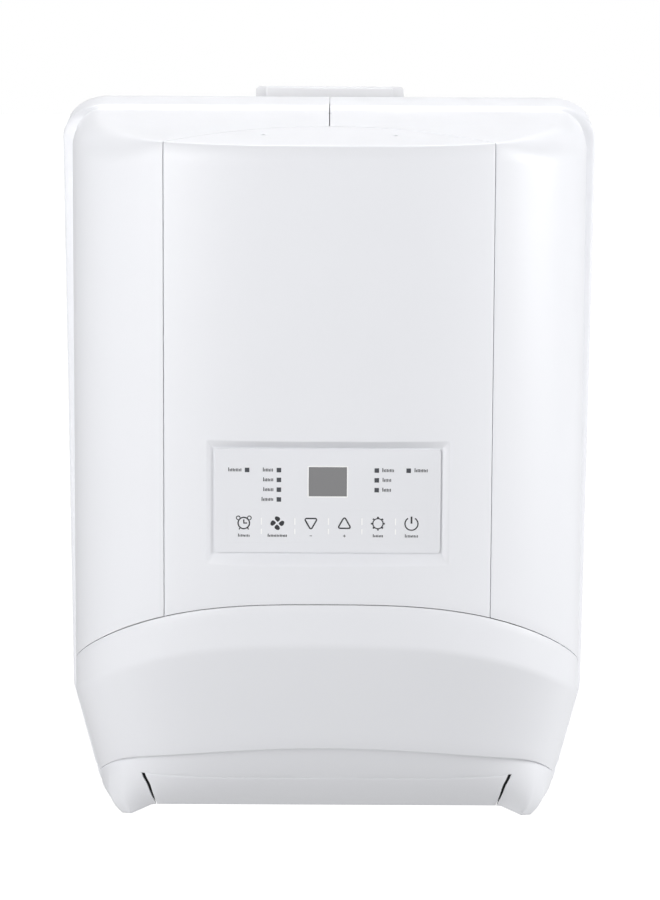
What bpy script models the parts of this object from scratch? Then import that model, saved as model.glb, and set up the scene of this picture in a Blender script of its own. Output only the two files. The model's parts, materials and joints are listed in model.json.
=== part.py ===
"""Wall-hung dehumidifier, in metres, +Z up.

The front faces -Y, +X is the viewer's right, and the wall is the plane y = 0. The origin is on the wall
bracket's back face, level with the middle of the housing.
"""

import math

import bmesh
import bpy
from mathutils import Matrix, Vector

# ---------------------------------------------------------------- driving dimensions, in metres
BODY_HALF_WIDTH = 0.172
BODY_DEPTH = 0.153  # from the rim plane to the front face
PLAN_POWER = 3.0  # superellipse power of the plan outline
RIM_Y = -0.078  # plane where the front body meets the rear rim
REAR_Y = -0.035  # rear edge of the rim
FRONT_Y = RIM_Y - BODY_DEPTH
TOP_AT_RIM = 0.2253
TOP_SLOPE = 0.096  # the top falls towards the front
TOP_RADIUS = 0.020  # round between the top and the side walls
EDGE_LEAN_HEIGHT = 0.012  # the front leans back a little below its crisp top edge
EDGE_LEAN = 0.0028
EDGE_LEAN_ANGLE = math.radians(27)
EDGE_ROUND = 0.0015
ROUND_FROM_X = 0.108  # the crisp edge grows into the round between these
ROUND_TO_X = 0.150
RIM_STEP_TOP = 0.0020  # how far the rim stands above the body's top
RIM_STEP_HIGH = 0.0085  # how far it stands out at the sides, at RIM_STEP_Z
RIM_STEP_Z = 0.195
RIM_STEP_TAPER = 0.0125  # less step for each metre down
RIM_RISER = 0.003
WALL = 0.0025
GAP = 0.0003
RUNNING = 0.00008  # radial clearance where a shaft turns in a bore
SEAM = 0.0003  # half of the seam between two shells

PANEL_HALF_WIDTH = 0.106
ARC_PEAK_Y = -0.1495  # rear edge of the front panel, at the middle
ARC_CLEARANCE = 0.0010  # from that edge to the side shells
SEAM_Z = -0.0849
CREASE_Z = -0.1126
ARCH_RATE = 0.9  # how fast the seams drop as the wall turns back
SEAM_REACH = 0.170
CREASE_REACH = 0.130
CHIN_Z = -0.187
CHIN_DROP = 0.014
CHIN_DROP_X = 0.137
CHIN_END_DROP = 0.028
CHIN_END_X = 0.1595
CHIN_END_POWER = 16
SIDE_TAPER = 0.24
FRONT_TAPER = 0.40
LIP = 0.003

FACE_BULGE = 0.004
CHEEK_BULGE = 0.006
CHEEK_FROM_X = 0.122
CHEEK_TO_X = 0.150
# Lower edge of the hood: (x on the chin's lip, then x, y, z of the foot below it).
HOOD_FEET = (
    (0.0000, 0.0000, -0.150, -0.2394),
    (0.1276, 0.1176, -0.150, -0.2394),
    (0.1380, 0.1318, -0.150, -0.2460),
    (0.1470, 0.1388, -0.140, -0.2482),
    (0.1625, 0.1402, -0.078, -0.2482),
)

FLAP_TOP_Z = -0.2130
FLAP_LIP_X = 0.1237  # where the flap's side edges would meet the lip's height
OPENING_HALF_WIDTHS = (0.1244, 0.1176)  # at the flap's top and at its lower edge
FLAP_THICKNESS = 0.0025
PIVOT_Y = -0.134
PIVOT_Z = -0.229
PIVOT_RADIUS = 0.0022

CONTROL_Z = -0.01775
OVERLAY_SIZE = (0.1455, 0.0679)
RECESS_FLOOR_Y = -0.2245
RECESS_HALF_WIDTHS = (0.0785, 0.0738)  # at the surface and at the floor
RECESS_TOP_ZS = (0.022, 0.0168)
RECESS_BOTTOM_ZS = (-0.060, -0.0523)
OVERLAY_BACK_Y = RECESS_FLOOR_Y - GAP
OVERLAY_THICKNESS = 0.0008
OVERLAY_FRONT_Y = OVERLAY_BACK_Y - OVERLAY_THICKNESS
WINDOW_SIZE = (0.0244, 0.0189)
WINDOW_Z = -0.0052
KEY_PITCH = 0.0216
KEY_COUNT = 6
KEY_SIZE = (0.0213, 0.0210)
KEY_Z = -0.0345
KEY_THICKNESS = 0.0006
KEY_STEM_RADIUS = 0.0025
LED_SIZE = 0.0029
LED_COLUMN_X = 0.0315
LED_OUTER_X = 0.0520
LED_TOP_Z = 0.0023
LED_PITCH = 0.0064
BOARD_Y = (-0.2185, -0.2170)

BRACKET_HALF_WIDTH = 0.120
BRACKET_HALF_HEIGHT = 0.150
BRACKET_NECK_HALF_WIDTH = 0.0515
BRACKET_TOP_Z = 0.2367
BRACKET_THICKNESS = 0.003
HOOK_X = 0.108
HOOK_HALF_WIDTH = 0.010
HOOK_Z = 0.100
HOOK_TIP_Y = -0.046
SPACER_X = 0.085
SPACER_Z = -0.130
SPACER_RADIUS = 0.009

BACK_FRONT_Y = -0.0385
BACK_REAR_Y = -0.0360
GRILLE_ROWS = 13
GRILLE_PITCH = 0.015
GRILLE_BOTTOM_Z = 0.010
GRILLE_SLOT = (0.072, 0.0075)

FILTER_HALF_WIDTH = 0.086
FILTER_Z = (0.000, 0.208)
FILTER_Y = (-0.0344, -0.0294)
FILTER_TRAVEL = 0.150

COIL_HALF_WIDTH = 0.122
COIL_Z = (0.006, 0.200)
EVAPORATOR_Y = (-0.086, -0.060)
CONDENSER_Y = (-0.114, -0.094)
BEND_RADIUS = 0.0095
BEND_TUBE = 0.0035
BEND_COUNT = 4

FAN_Z = 0.098
FAN_Y = (-0.172, -0.128)
FAN_RADIUS = 0.064
FAN_BLADES = 24
SHAFT_RADIUS = 0.003
SCROLL_Y = (-0.180, -0.120)
SCROLL_WALL = 0.002
SCROLL_SMALL = 0.071
SCROLL_LARGE = 0.100
SCROLL_OUTLET_Z = -0.004

VANE_XS = (-0.080, -0.040, 0.0, 0.040, 0.080)
VANE_Z = -0.160
VANE_Y = -0.1675
VANE_SIZE = (0.0014, 0.032, 0.034)
VANE_PIN_RADIUS = 0.0016
VANE_PIN_REACH = 0.0196  # from the middle of the vane to a pin's end
LINK_ARM = 0.024  # from the vane's pivot up to the pin that drives it
LINK_PIN_RADIUS = 0.0012
LINK_SLACK = 0.0005  # room for the pin's arc in the link's slots
LINK_Y = (-0.1745, -0.1723)

PAN_Z = (-0.233, -0.230)
COMPRESSOR_AT = (0.090, -0.093)
COMPRESSOR_RADIUS = 0.044
COMPRESSOR_Z = (-0.213, -0.085)
ACCUMULATOR_AT = (0.010, -0.093)
DRIER_AT = (0.150, -0.060)


# ---------------------------------------------------------------- scene and object helpers
def clear_scene():
    for old in list(bpy.data.objects):
        bpy.data.objects.remove(old, do_unlink=True)


def collection(name):
    made = bpy.data.collections.new(name)
    bpy.context.scene.collection.children.link(made)
    return made


clear_scene()
PARTS = collection("dehumidifier")
CUTTERS = collection("cutters")
CUTTERS.hide_render = True


def material(name, colour, roughness, metallic=0.0):
    """A plain Principled material."""
    made = bpy.data.materials.new(name)
    made.use_nodes = True
    shader = made.node_tree.nodes["Principled BSDF"]
    shader.inputs["Base Color"].default_value = (*colour, 1.0)
    shader.inputs["Roughness"].default_value = roughness
    shader.inputs["Metallic"].default_value = metallic
    return made


WHITE = (0.86, 0.87, 0.89)
SILVER = (0.62, 0.63, 0.65)
COPPER = (0.72, 0.36, 0.20)
BLACK = (0.03, 0.03, 0.035)
GREY = (0.30, 0.31, 0.32)
GREEN = (0.05, 0.25, 0.12)


def finish(obj, colour, roughness=0.5, metallic=0.0, smooth=True):
    """Puts an object among the parts with a material of its own."""
    obj.data.materials.clear()
    obj.data.materials.append(material(obj.name, colour, roughness, metallic))
    if smooth and obj.type == "MESH":
        obj.data.shade_smooth()
        obj.data.set_sharp_from_angle(angle=math.radians(35))
    for home in list(obj.users_collection):
        home.objects.unlink(obj)
    PARTS.objects.link(obj)
    return obj


def mesh_object(name, shape):
    """An object from a bmesh, linked to the scene."""
    data = bpy.data.meshes.new(name)
    shape.to_mesh(data)
    shape.free()
    obj = bpy.data.objects.new(name, data)
    bpy.context.scene.collection.objects.link(obj)
    return obj


def box(name, low, high, bevel=0.0):
    shape = bmesh.new()
    bmesh.ops.create_cube(shape, size=1.0)
    size = [b - a for a, b in zip(low, high)]
    middle = [(a + b) / 2 for a, b in zip(low, high)]
    bmesh.ops.scale(shape, vec=size, verts=shape.verts)
    bmesh.ops.translate(shape, vec=middle, verts=shape.verts)
    obj = mesh_object(name, shape)
    if bevel:
        edge = obj.modifiers.new("edges", "BEVEL")
        edge.width = bevel
        edge.segments = 2
    return obj


AXIS_TURNS = {
    "X": Matrix.Rotation(math.radians(90), 4, "Y"),
    "Y": Matrix.Rotation(math.radians(-90), 4, "X"),
    "Z": Matrix.Identity(4),
}


def cylinder(name, radius, start, length, axis="Z", segments=20):
    """A cylinder from start, running along +axis."""
    shape = bmesh.new()
    bmesh.ops.create_cone(
        shape, cap_ends=True, segments=segments, radius1=radius, radius2=radius, depth=length
    )
    bmesh.ops.translate(shape, vec=(0, 0, length / 2), verts=shape.verts)
    bmesh.ops.transform(shape, matrix=AXIS_TURNS[axis], verts=shape.verts)
    bmesh.ops.translate(shape, vec=start, verts=shape.verts)
    return mesh_object(name, shape)


def turned(name, profile, place, axis="Z", steps=20):
    """A profile of (radius, height) points, from the top down its outer side, turned about the axis."""
    shape = bmesh.new()
    corners = [shape.verts.new((radius, 0, height)) for radius, height in profile]
    for first, second in zip(corners, corners[1:]):
        shape.edges.new((first, second))
    obj = mesh_object(name, shape)
    screw = obj.modifiers.new("turn", "SCREW")
    screw.steps = steps
    screw.render_steps = steps
    screw.use_merge_vertices = True
    screw.merge_threshold = 0.00005
    obj.matrix_world = Matrix.Translation(place) @ AXIS_TURNS[axis]
    return obj


def as_mesh(obj):
    """The object as the modifiers and curves leave it, as a plain mesh with its caps welded."""
    bpy.context.view_layer.update()
    graph = bpy.context.evaluated_depsgraph_get()
    data = bpy.data.meshes.new_from_object(obj.evaluated_get(graph), depsgraph=graph)
    made = bpy.data.objects.new(obj.name + "_mesh", data)
    bpy.context.scene.collection.objects.link(made)
    made.matrix_world = obj.matrix_world.copy()
    name = obj.name
    bpy.data.objects.remove(obj, do_unlink=True)
    made.name = name
    shape = bmesh.new()
    shape.from_mesh(data)
    bmesh.ops.remove_doubles(shape, verts=shape.verts, dist=0.000005)
    bmesh.ops.recalc_face_normals(shape, faces=shape.faces)
    shape.to_mesh(data)
    shape.free()
    return made


def tube(name, points, radius, sides=2):
    """A round pipe through the points."""
    data = bpy.data.curves.new(name, "CURVE")
    data.dimensions = "3D"
    data.bevel_depth = radius
    data.bevel_resolution = sides
    data.use_fill_caps = True
    line = data.splines.new("POLY")
    line.points.add(len(points) - 1)
    for point, place in zip(line.points, points):
        point.co = (*place, 1)
    obj = bpy.data.objects.new(name, data)
    bpy.context.scene.collection.objects.link(obj)
    return obj


def rounded_route(corners, radius, steps=4):
    """Points along straight runs between corners, with each inner corner rounded."""
    places = [Vector(corner) for corner in corners]
    route = [places[0]]
    for before, corner, after in zip(places, places[1:], places[2:]):
        back = (before - corner).normalized()
        ahead = (after - corner).normalized()
        start = corner + back * radius
        end = corner + ahead * radius
        for step in range(steps + 1):
            along = step / steps
            route.append((1 - along) ** 2 * start + 2 * along * (1 - along) * corner + along**2 * end)
    route.append(places[-1])
    return route


def plate(name, outline, low, high, axis="Y"):
    """A flat outline of (across, up) points, filled and extruded from low to high along the axis."""
    data = bpy.data.curves.new(name, "CURVE")
    data.dimensions = "2D"
    data.fill_mode = "BOTH"
    data.extrude = (high - low) / 2
    line = data.splines.new("POLY")
    line.points.add(len(outline) - 1)
    for point, (across, up) in zip(line.points, outline):
        point.co = (across, up, 0, 1)
    line.use_cyclic_u = True
    obj = bpy.data.objects.new(name, data)
    bpy.context.scene.collection.objects.link(obj)
    middle = (low + high) / 2
    if axis == "Y":
        obj.matrix_world = Matrix.Translation((0, middle, 0)) @ Matrix.Rotation(math.radians(90), 4, "X")
    else:
        obj.matrix_world = Matrix.Translation((0, 0, middle))
    return as_mesh(obj)


def boolean(obj, tool, operation):
    """Cuts or joins another object, which becomes a hidden helper."""
    step = obj.modifiers.new(operation.lower() + "_" + tool.name, "BOOLEAN")
    step.operation = operation
    step.object = tool
    tool.hide_render = True
    tool.display_type = "WIRE"
    for home in list(tool.users_collection):
        home.objects.unlink(tool)
    CUTTERS.objects.link(tool)


def cut(obj, tool):
    boolean(obj, tool, "DIFFERENCE")


def join(obj, tool):
    boolean(obj, tool, "UNION")


def merged(name, pieces):
    """One mesh object that holds several separate ones, for use as a cutter or before a union."""
    shape = bmesh.new()
    for piece in pieces:
        start = len(shape.verts)
        shape.from_mesh(piece.data)
        shape.verts.ensure_lookup_table()
        bmesh.ops.transform(shape, matrix=piece.matrix_world, verts=shape.verts[start:])
        bpy.data.objects.remove(piece, do_unlink=True)
    return mesh_object(name, shape)


def shell(name, grid, thickness=WALL, flip=False):
    """A grid of points, row by row, made a closed wall that grows inwards."""
    shape = bmesh.new()
    rows = [[shape.verts.new(place) for place in row] for row in grid]
    for lower, upper in zip(rows, rows[1:]):
        for i in range(len(lower) - 1):
            corners = [lower[i], lower[i + 1], upper[i + 1], upper[i]]
            shape.faces.new(corners[::-1] if flip else corners)
    obj = mesh_object(name, shape)
    wall = obj.modifiers.new("wall", "SOLIDIFY")
    wall.thickness = thickness
    wall.offset = -1
    wall.use_even_offset = True
    return obj


# ---------------------------------------------------------------- the housing's outer surface
def mix(a, b, part):
    return a + (b - a) * part


def smooth(part):
    part = max(0.0, min(1.0, part))
    return part * part * (3 - 2 * part)


def plan_parts(angle):
    """How far across and ahead the plan outline is at this angle, each from 0 to 1."""
    across = math.copysign(abs(math.cos(angle)) ** (2 / PLAN_POWER), math.cos(angle))
    return across, abs(math.sin(angle)) ** (2 / PLAN_POWER)


def top_z(y):
    """Height of the housing's top at depth y."""
    return TOP_AT_RIM + TOP_SLOPE * (y - RIM_Y)


def plan(angle, inset=0.0):
    """Point of the plan outline, 0 at the right rim and pi at the left, moved inwards by inset."""
    across, ahead = plan_parts(angle)
    steep = math.hypot(
        abs(across) ** (PLAN_POWER - 1) / BODY_HALF_WIDTH, ahead ** (PLAN_POWER - 1) / BODY_DEPTH
    )
    keep = 1 - inset * steep
    return keep * BODY_HALF_WIDTH * across, RIM_Y - keep * BODY_DEPTH * ahead


def angle_at(x, inset=0.0):
    """The outline's angle, up to the middle, whose point has this x."""
    low, high = 0.0, math.pi / 2
    for _ in range(40):
        middle = (low + high) / 2
        if plan(middle, inset)[0] > x:
            low = middle
        else:
            high = middle
    return (low + high) / 2


def even_angles(first, last, count, inset=0.0):
    """Angles that part the outline into count equal lengths."""
    fine = [first + (last - first) * i / 300 for i in range(301)]
    places = [Vector(plan(angle, inset)) for angle in fine]
    lengths = [0.0]
    for one, two in zip(places, places[1:]):
        lengths.append(lengths[-1] + (two - one).length)
    angles = []
    index = 0
    for i in range(count + 1):
        wanted = lengths[-1] * i / count
        while index < 299 and lengths[index + 1] < wanted:
            index += 1
        part = (wanted - lengths[index]) / (lengths[index + 1] - lengths[index])
        angles.append(fine[index] + (fine[index + 1] - fine[index]) * min(1.0, part))
    return angles


def arch(z, y, reach):
    """A line round the front that starts at height z in the middle and drops as the wall turns back."""
    back = max(0.0, min(y, RIM_Y) - FRONT_Y)
    return z - ARCH_RATE * back / (1 + back / reach)


def seam_z(y):
    return arch(SEAM_Z, y, SEAM_REACH)


def crease_z(y):
    return arch(CREASE_Z, y, CREASE_REACH)


def roll(share, part):
    """(inset, drop) over the top edge, from the wall at 0 to the top at 1.

    share is 0 where the edge is crisp, as on the front panel, and 1 where it is fully round."""
    turn = math.pi / 2 * part
    lean_part = 0.7
    if part < lean_part:
        lean = EDGE_LEAN * (part / lean_part) ** 2
        drop = mix(EDGE_LEAN_HEIGHT, EDGE_ROUND * (1 - math.sin(EDGE_LEAN_ANGLE)), part / lean_part)
    else:
        tilt = mix(EDGE_LEAN_ANGLE, math.pi / 2, (part - lean_part) / (1 - lean_part))
        lean = EDGE_LEAN + EDGE_ROUND * (math.cos(EDGE_LEAN_ANGLE) - math.cos(tilt))
        drop = EDGE_ROUND * (1 - math.sin(tilt))
    inward = mix(lean, TOP_RADIUS * (1 - math.cos(turn)), share)
    downward = mix(drop, TOP_RADIUS * (1 - math.sin(turn)), share)
    return inward, downward


def round_share(angle):
    across = abs(plan_parts(angle)[0]) * BODY_HALF_WIDTH
    return smooth((across - ROUND_FROM_X) / (ROUND_TO_X - ROUND_FROM_X))


EDGE_INSET = roll(0, 1)[0]
CORNER_Y = plan(angle_at(PANEL_HALF_WIDTH, EDGE_INSET), EDGE_INSET)[1]


def arc_y(x):
    """Rear edge of the front panel on the housing's top."""
    return mix(ARC_PEAK_Y, CORNER_Y, (x / PANEL_HALF_WIDTH) ** 2)


def rim_step(z):
    return RIM_STEP_HIGH - RIM_STEP_TAPER * (RIM_STEP_Z - z)


COLUMNS = 11  # of a side shell, from its rim to the front panel
TOP_ROWS = 8  # of half of the top
EDGE_PARTS = (0.0, 0.3, 0.6, 0.8, 1.0)  # rows over the top edge


def rim_columns(height, out_x, out_z):
    """The three points that make the rim of one row: rear edge, front edge, and foot of the riser.

    height gives (x, z) at a depth y, and out_x, out_z say how far the rim stands out there."""
    columns = []
    for y, part in ((REAR_Y, 1), (RIM_Y + RIM_RISER, 1), (RIM_Y, 0)):
        x, z = height(y)
        columns.append((x + part * out_x(z), y, z + part * out_z))
    return columns


def side_grid():
    """Rows of the right side shell: the wall, the round, and half of the top, each with its rim."""
    rows = []
    edge = PANEL_HALF_WIDTH + 1.5 * SEAM
    for part in (0.0, 0.35, 0.7, 1.0):

        def wall_height(y, part=part, drop=TOP_RADIUS):
            return BODY_HALF_WIDTH, mix(seam_z(y) + SEAM, top_z(y) - drop, part)

        row = rim_columns(wall_height, rim_step, 0)
        for angle in even_angles(0, angle_at(edge), COLUMNS)[1:]:
            x, y = plan(angle)
            row.append((x, y, wall_height(y, drop=roll(round_share(angle), 0)[1])[1]))
        rows.append(row)
    for part in EDGE_PARTS[1:]:
        turn = math.pi / 2 * part
        inset, drop = roll(1, part)

        def round_height(y, inset=inset, drop=drop):
            return BODY_HALF_WIDTH - inset, top_z(y) - drop

        def round_out(z, turn=turn):
            return rim_step(z) * math.cos(turn)

        row = rim_columns(round_height, round_out, RIM_STEP_TOP * math.sin(turn))
        for angle in even_angles(0, angle_at(edge, roll(0, part)[0]), COLUMNS)[1:]:
            inset, drop = roll(round_share(angle), part)
            x, y = plan(angle, inset)
            row.append((x, y, top_z(y) - drop))
        rows.append(row)
    outer = [Vector((x, y)) for x, y, _ in rows[-1][2:]]
    for step in range(1, TOP_ROWS + 1):
        part = step / TOP_ROWS
        start = Vector((mix(outer[0].x, SEAM, part), RIM_Y))
        end_x = mix(outer[-1].x, SEAM, part)
        end = Vector((end_x, arc_y(end_x) + ARC_CLEARANCE))

        def flat_height(y, start=start):
            return start.x, top_z(y)

        row = rim_columns(flat_height, lambda z: 0.0, RIM_STEP_TOP)
        for i in range(1, COLUMNS + 1):
            along = i / COLUMNS
            inner = Vector((SEAM, mix(RIM_Y, ARC_PEAK_Y + ARC_CLEARANCE, along)))
            place = outer[i].lerp(inner, part)
            place += start.lerp(end, along)
            place -= (outer[0].lerp(Vector((SEAM, RIM_Y)), part)).lerp(
                outer[-1].lerp(Vector((SEAM, ARC_PEAK_Y + ARC_CLEARANCE)), part), along
            )
            row.append((place.x, place.y, top_z(place.y)))
        rows.append(row)
    return rows


def side_shells():
    rows = side_grid()
    right = shell("right_side_shell", rows, flip=True)
    left = shell("left_side_shell", [[(-x, y, z) for x, y, z in row] for row in rows])
    for obj in (left, right):
        finish(obj, WHITE, 0.35)


def front_grid():
    """Rows of the front panel, from its lower seam over the round to its rear arc, with the recess."""
    edge = PANEL_HALF_WIDTH - SEAM
    wide, floor = RECESS_HALF_WIDTHS
    half = [0.0, 0.019, 0.037, 0.055, floor, wide, 0.093, edge]
    xs = [-x for x in half[:0:-1]] + half
    rows = []
    levels = [None, RECESS_BOTTOM_ZS[0], RECESS_BOTTOM_ZS[1], CONTROL_Z, RECESS_TOP_ZS[1], RECESS_TOP_ZS[0]]
    for level in levels + [0.110]:
        row = []
        for x in xs:
            y = plan(angle_at(abs(x)))[1]
            z = seam_z(y) + SEAM if level is None else level
            inside = abs(x) <= floor and level is not None
            if inside and RECESS_BOTTOM_ZS[1] <= level <= RECESS_TOP_ZS[1]:
                y = RECESS_FLOOR_Y
            row.append((x, y, z))
        rows.append(row)
    for part in EDGE_PARTS:
        inset, drop = roll(0, part)
        row = []
        for x in xs:
            y = plan(angle_at(abs(x), inset), inset)[1]
            row.append((x, y, top_z(y) - drop))
        rows.append(row)
    for part in (0.5, 1.0):
        row = []
        for x in xs:
            start = plan(angle_at(abs(x), EDGE_INSET), EDGE_INSET)[1]
            y = mix(start, arc_y(x) - SEAM, part)
            if start > y:
                y = start + 0.0004 * part
            row.append((x, y, top_z(y)))
        rows.append(row)
    return rows


def front_panel():
    obj = shell("front_panel", front_grid())
    holes = [
        box("hole", (-0.0115, -0.24, WINDOW_Z - 0.009), (0.0115, -0.215, WINDOW_Z + 0.009)),
    ]
    for x, z in led_places(-1) + led_places(1):
        reach = LED_SIZE / 2 + GAP
        holes.append(box("hole", (x - reach, -0.24, z - reach), (x + reach, -0.215, z + reach)))
    for x in key_xs():
        holes.append(cylinder("hole", KEY_STEM_RADIUS + 0.0005, (x, -0.24, KEY_Z), 0.025, "Y", 12))
    cut(obj, merged("panel_holes", holes))
    finish(obj, WHITE, 0.35)


def chin_z(x):
    """Lower edge of the chin, above the outlet face."""
    x = abs(x)
    return CHIN_Z - CHIN_DROP * (x / CHIN_DROP_X) ** 2 - CHIN_END_DROP * (x / CHIN_END_X) ** CHIN_END_POWER


def hood_point(angle, inset, z):
    across, ahead = plan_parts(angle)
    return Vector(((BODY_HALF_WIDTH - inset) * across, RIM_Y - (BODY_DEPTH - inset) * ahead, z))


def chin_edge(angle):
    """(inset, z) of the chin's lower edge at one angle of the plan."""
    across, ahead = plan_parts(angle)
    crease = crease_z(plan(angle)[1])
    taper = mix(SIDE_TAPER, FRONT_TAPER, ahead)
    edge = CHIN_Z
    for _ in range(12):
        edge = chin_z((BODY_HALF_WIDTH - taper * (crease - edge)) * across)
    return taper * (crease - edge), edge


def lip_point(angle):
    """The inner edge of the lip under the chin."""
    inset, edge = chin_edge(angle)
    across = abs(plan_parts(angle)[0])
    return hood_point(angle, inset + mix(LIP, 0.0008, smooth((across - 0.88) / 0.12)), edge - 0.0008)


def hood_foot(lip_x):
    """The hood's lower edge below a lip point at this x."""
    wanted = abs(lip_x)
    for first, second in zip(HOOD_FEET, HOOD_FEET[1:]):
        if wanted <= second[0]:
            break
    part = min(1.0, (wanted - first[0]) / (second[0] - first[0]))
    x, y, z = (mix(a, b, part) for a, b in zip(first[1:], second[1:]))
    return Vector((math.copysign(x, lip_x), y, z))


def face_point(angle, part):
    """Point of the surface between the lip and the hood's lower edge."""
    lip = lip_point(angle)
    place = lip.lerp(hood_foot(lip.x), part)
    side = smooth((abs(lip.x) - CHEEK_FROM_X) / (CHEEK_TO_X - CHEEK_FROM_X))
    across, ahead = plan_parts(angle)
    out_x = math.copysign(across**2, across) / BODY_HALF_WIDTH
    out = Vector((out_x, -(ahead**2) / BODY_DEPTH, 0)).normalized()
    out = Vector((0, -1, 0)).lerp(out, side) + Vector((0, 0, -1))
    return place + out * 0.7 * mix(FACE_BULGE, CHEEK_BULGE, side) * math.sin(math.pi * part)


def hood_column(angle, steps=5):
    """Points down the hood at one angle of the plan, from the seam to the lower edge."""
    y = plan(angle)[1]
    crease = crease_z(y)
    taper = mix(SIDE_TAPER, FRONT_TAPER, plan_parts(angle)[1])
    inset, edge = chin_edge(angle)
    column = [
        hood_point(angle, 0.0, seam_z(y) - SEAM),
        hood_point(angle, 0.0, crease + 0.003),
        hood_point(angle, taper * 0.004, crease - 0.004),
        hood_point(angle, inset, edge),
    ]
    return column + [face_point(angle, i / steps) for i in range(steps + 1)]


def hood_grid(count=28):
    """Rows of the hood from its seam downwards, each running from the right rim round to the left one."""
    angles = even_angles(0, math.pi / 2, count // 2)
    angles += [math.pi - angle for angle in angles[-2::-1]]
    columns = [hood_column(angle) for angle in angles]
    rows = []
    for row in zip(*columns):
        x, _, z = row[0]
        right = [(x + part * rim_step(z), y, z) for y, part in ((REAR_Y, 1), (RIM_Y + RIM_RISER, 1))]
        left = [(-across, y, height) for across, y, height in right[::-1]]
        rows.append(right + list(row) + left)
    return rows


def outlet_hood():
    obj = shell("outlet_hood", hood_grid())
    top, bottom = OPENING_HALF_WIDTHS
    low = HOOD_FEET[0][3]
    high = FLAP_TOP_Z + 2 * GAP
    reach = 0.012
    wider = (top - bottom) * reach / (high - low)
    outline = [(wider - bottom, low - reach), (bottom - wider, low - reach), (top, high), (-top, high)]
    cut(obj, plate("outlet_opening", outline, -0.220, -0.100))
    finish(obj, WHITE, 0.35)


def lip_angle(lip_x):
    """The plan angle, up to the middle, whose lip point has this x."""
    low, high = 0.0, math.pi / 2
    for _ in range(40):
        middle = (low + high) / 2
        if lip_point(middle).x > lip_x:
            low = middle
        else:
            high = middle
    return (low + high) / 2


def face_part(angle, z):
    """How far down the outlet face this height is."""
    low, high = 0.0, 1.0
    for _ in range(30):
        middle = (low + high) / 2
        if face_point(angle, middle).z > z:
            low = middle
        else:
            high = middle
    return (low + high) / 2


def louver_flap():
    """The outlet flap, flush with the hood's face, with an arm and a pin at each end on the pivot axis."""
    columns = []
    for k in range(-10, 11):
        angle = lip_angle(FLAP_LIP_X * abs(k) / 10)
        start = face_part(angle, FLAP_TOP_Z + FLAP_THICKNESS)
        column = [face_point(angle, mix(start, 1.0, i / 6)) for i in range(7)]
        columns.append([Vector((math.copysign(x, k), y, z)) for x, y, z in column])
    obj = shell("louver_flap", list(zip(*columns)), FLAP_THICKNESS, flip=True)
    cut(obj, box("flap_trim", (-0.150, -0.220, FLAP_TOP_Z), (0.150, -0.150, FLAP_TOP_Z + 0.010)))
    edge = [Vector((0, y, z)) for _, y, z in columns[0]]
    inward = Vector((0, 0.7, 0.7)) * FLAP_THICKNESS / 2
    high, low = edge[3] + inward, edge[6] + inward
    outline = [
        (high.y, high.z),
        (low.y, low.z + 0.001),
        (PIVOT_Y - 0.001, PIVOT_Z - 0.0042),
        (PIVOT_Y + 0.0035, PIVOT_Z - 0.0025),
        (PIVOT_Y + 0.0042, PIVOT_Z + 0.0010),
        (PIVOT_Y + 0.0010, PIVOT_Z + 0.0042),
    ]
    for side in (-1, 1):
        inner, outer = sorted((side * 0.1100, side * 0.1125))
        join(obj, plate_x("flap_arm", outline, inner, outer))
        start = min(side * 0.1105, side * 0.1215)
        join(obj, cylinder("flap_pin", PIVOT_RADIUS, (start, PIVOT_Y, PIVOT_Z), 0.011, "X", 16))
    obj = as_mesh(obj)
    move_origin(obj, (0, PIVOT_Y, PIVOT_Z))
    finish(obj, WHITE, 0.35)


def plate_x(name, outline, low, high):
    """A flat outline of (y, z) points between two x planes."""
    obj = plate(name, outline, low, high, "Z")
    obj.matrix_world = Matrix(((0, 0, 1, 0), (1, 0, 0, 0), (0, 1, 0, 0), (0, 0, 0, 1))) @ obj.matrix_world
    return obj


# ---------------------------------------------------------------- back, base, filter and bracket
def back_outline(inset):
    """The rim's inner outline at the rear, as (x, z) points, from lower right round to lower left."""
    points = []
    for part in (1.0, 0.6):
        z = mix(-0.176, -0.236, part)
        points.append((BODY_HALF_WIDTH + rim_step(z) - SIDE_TAPER * (-0.176 - z) - inset, z))
    for z in (-0.176, 0.000, RIM_STEP_Z):
        points.append((BODY_HALF_WIDTH + rim_step(z) - inset, z))
    top = top_z(REAR_Y) + RIM_STEP_TOP - inset
    radius = TOP_RADIUS + RIM_STEP_HIGH - inset
    centre_x = BODY_HALF_WIDTH + RIM_STEP_HIGH - inset - radius
    for turn in (20, 45, 70, 90):
        angle = math.radians(turn)
        lift = radius - RIM_STEP_HIGH + RIM_STEP_TOP
        points.append((centre_x + radius * math.cos(angle), top - lift * (1 - math.sin(angle))))
    return points + [(-x, z) for x, z in points[::-1]]


def back_panel():
    obj = plate("back_panel", back_outline(WALL + 0.0022), BACK_FRONT_Y, BACK_REAR_Y)
    slots = []
    for row in range(GRILLE_ROWS):
        z = GRILLE_BOTTOM_Z + GRILLE_PITCH * row
        for side in (-1, 1):
            low_x, high_x = sorted((side * 0.004, side * (0.004 + GRILLE_SLOT[0])))
            slots.append(box("slot", (low_x, -0.05, z), (high_x, -0.03, z + GRILLE_SLOT[1])))
    for side in (-1, 1):
        reach = HOOK_HALF_WIDTH + 0.002
        low_x, high_x = side * HOOK_X - reach, side * HOOK_X + reach
        slots.append(box("slot", (low_x, -0.05, HOOK_Z - 0.018), (high_x, -0.03, HOOK_Z + GAP)))
    slots.append(box("slot", (-0.1405, -0.05, -0.1885), (-0.1095, -0.03, -0.1615)))
    slots.append(cylinder("slot", 0.0055, (0.052, -0.05, -0.205), 0.03, "Y", 16))
    cut(obj, merged("back_slots", slots))
    finish(obj, WHITE, 0.5)


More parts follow.
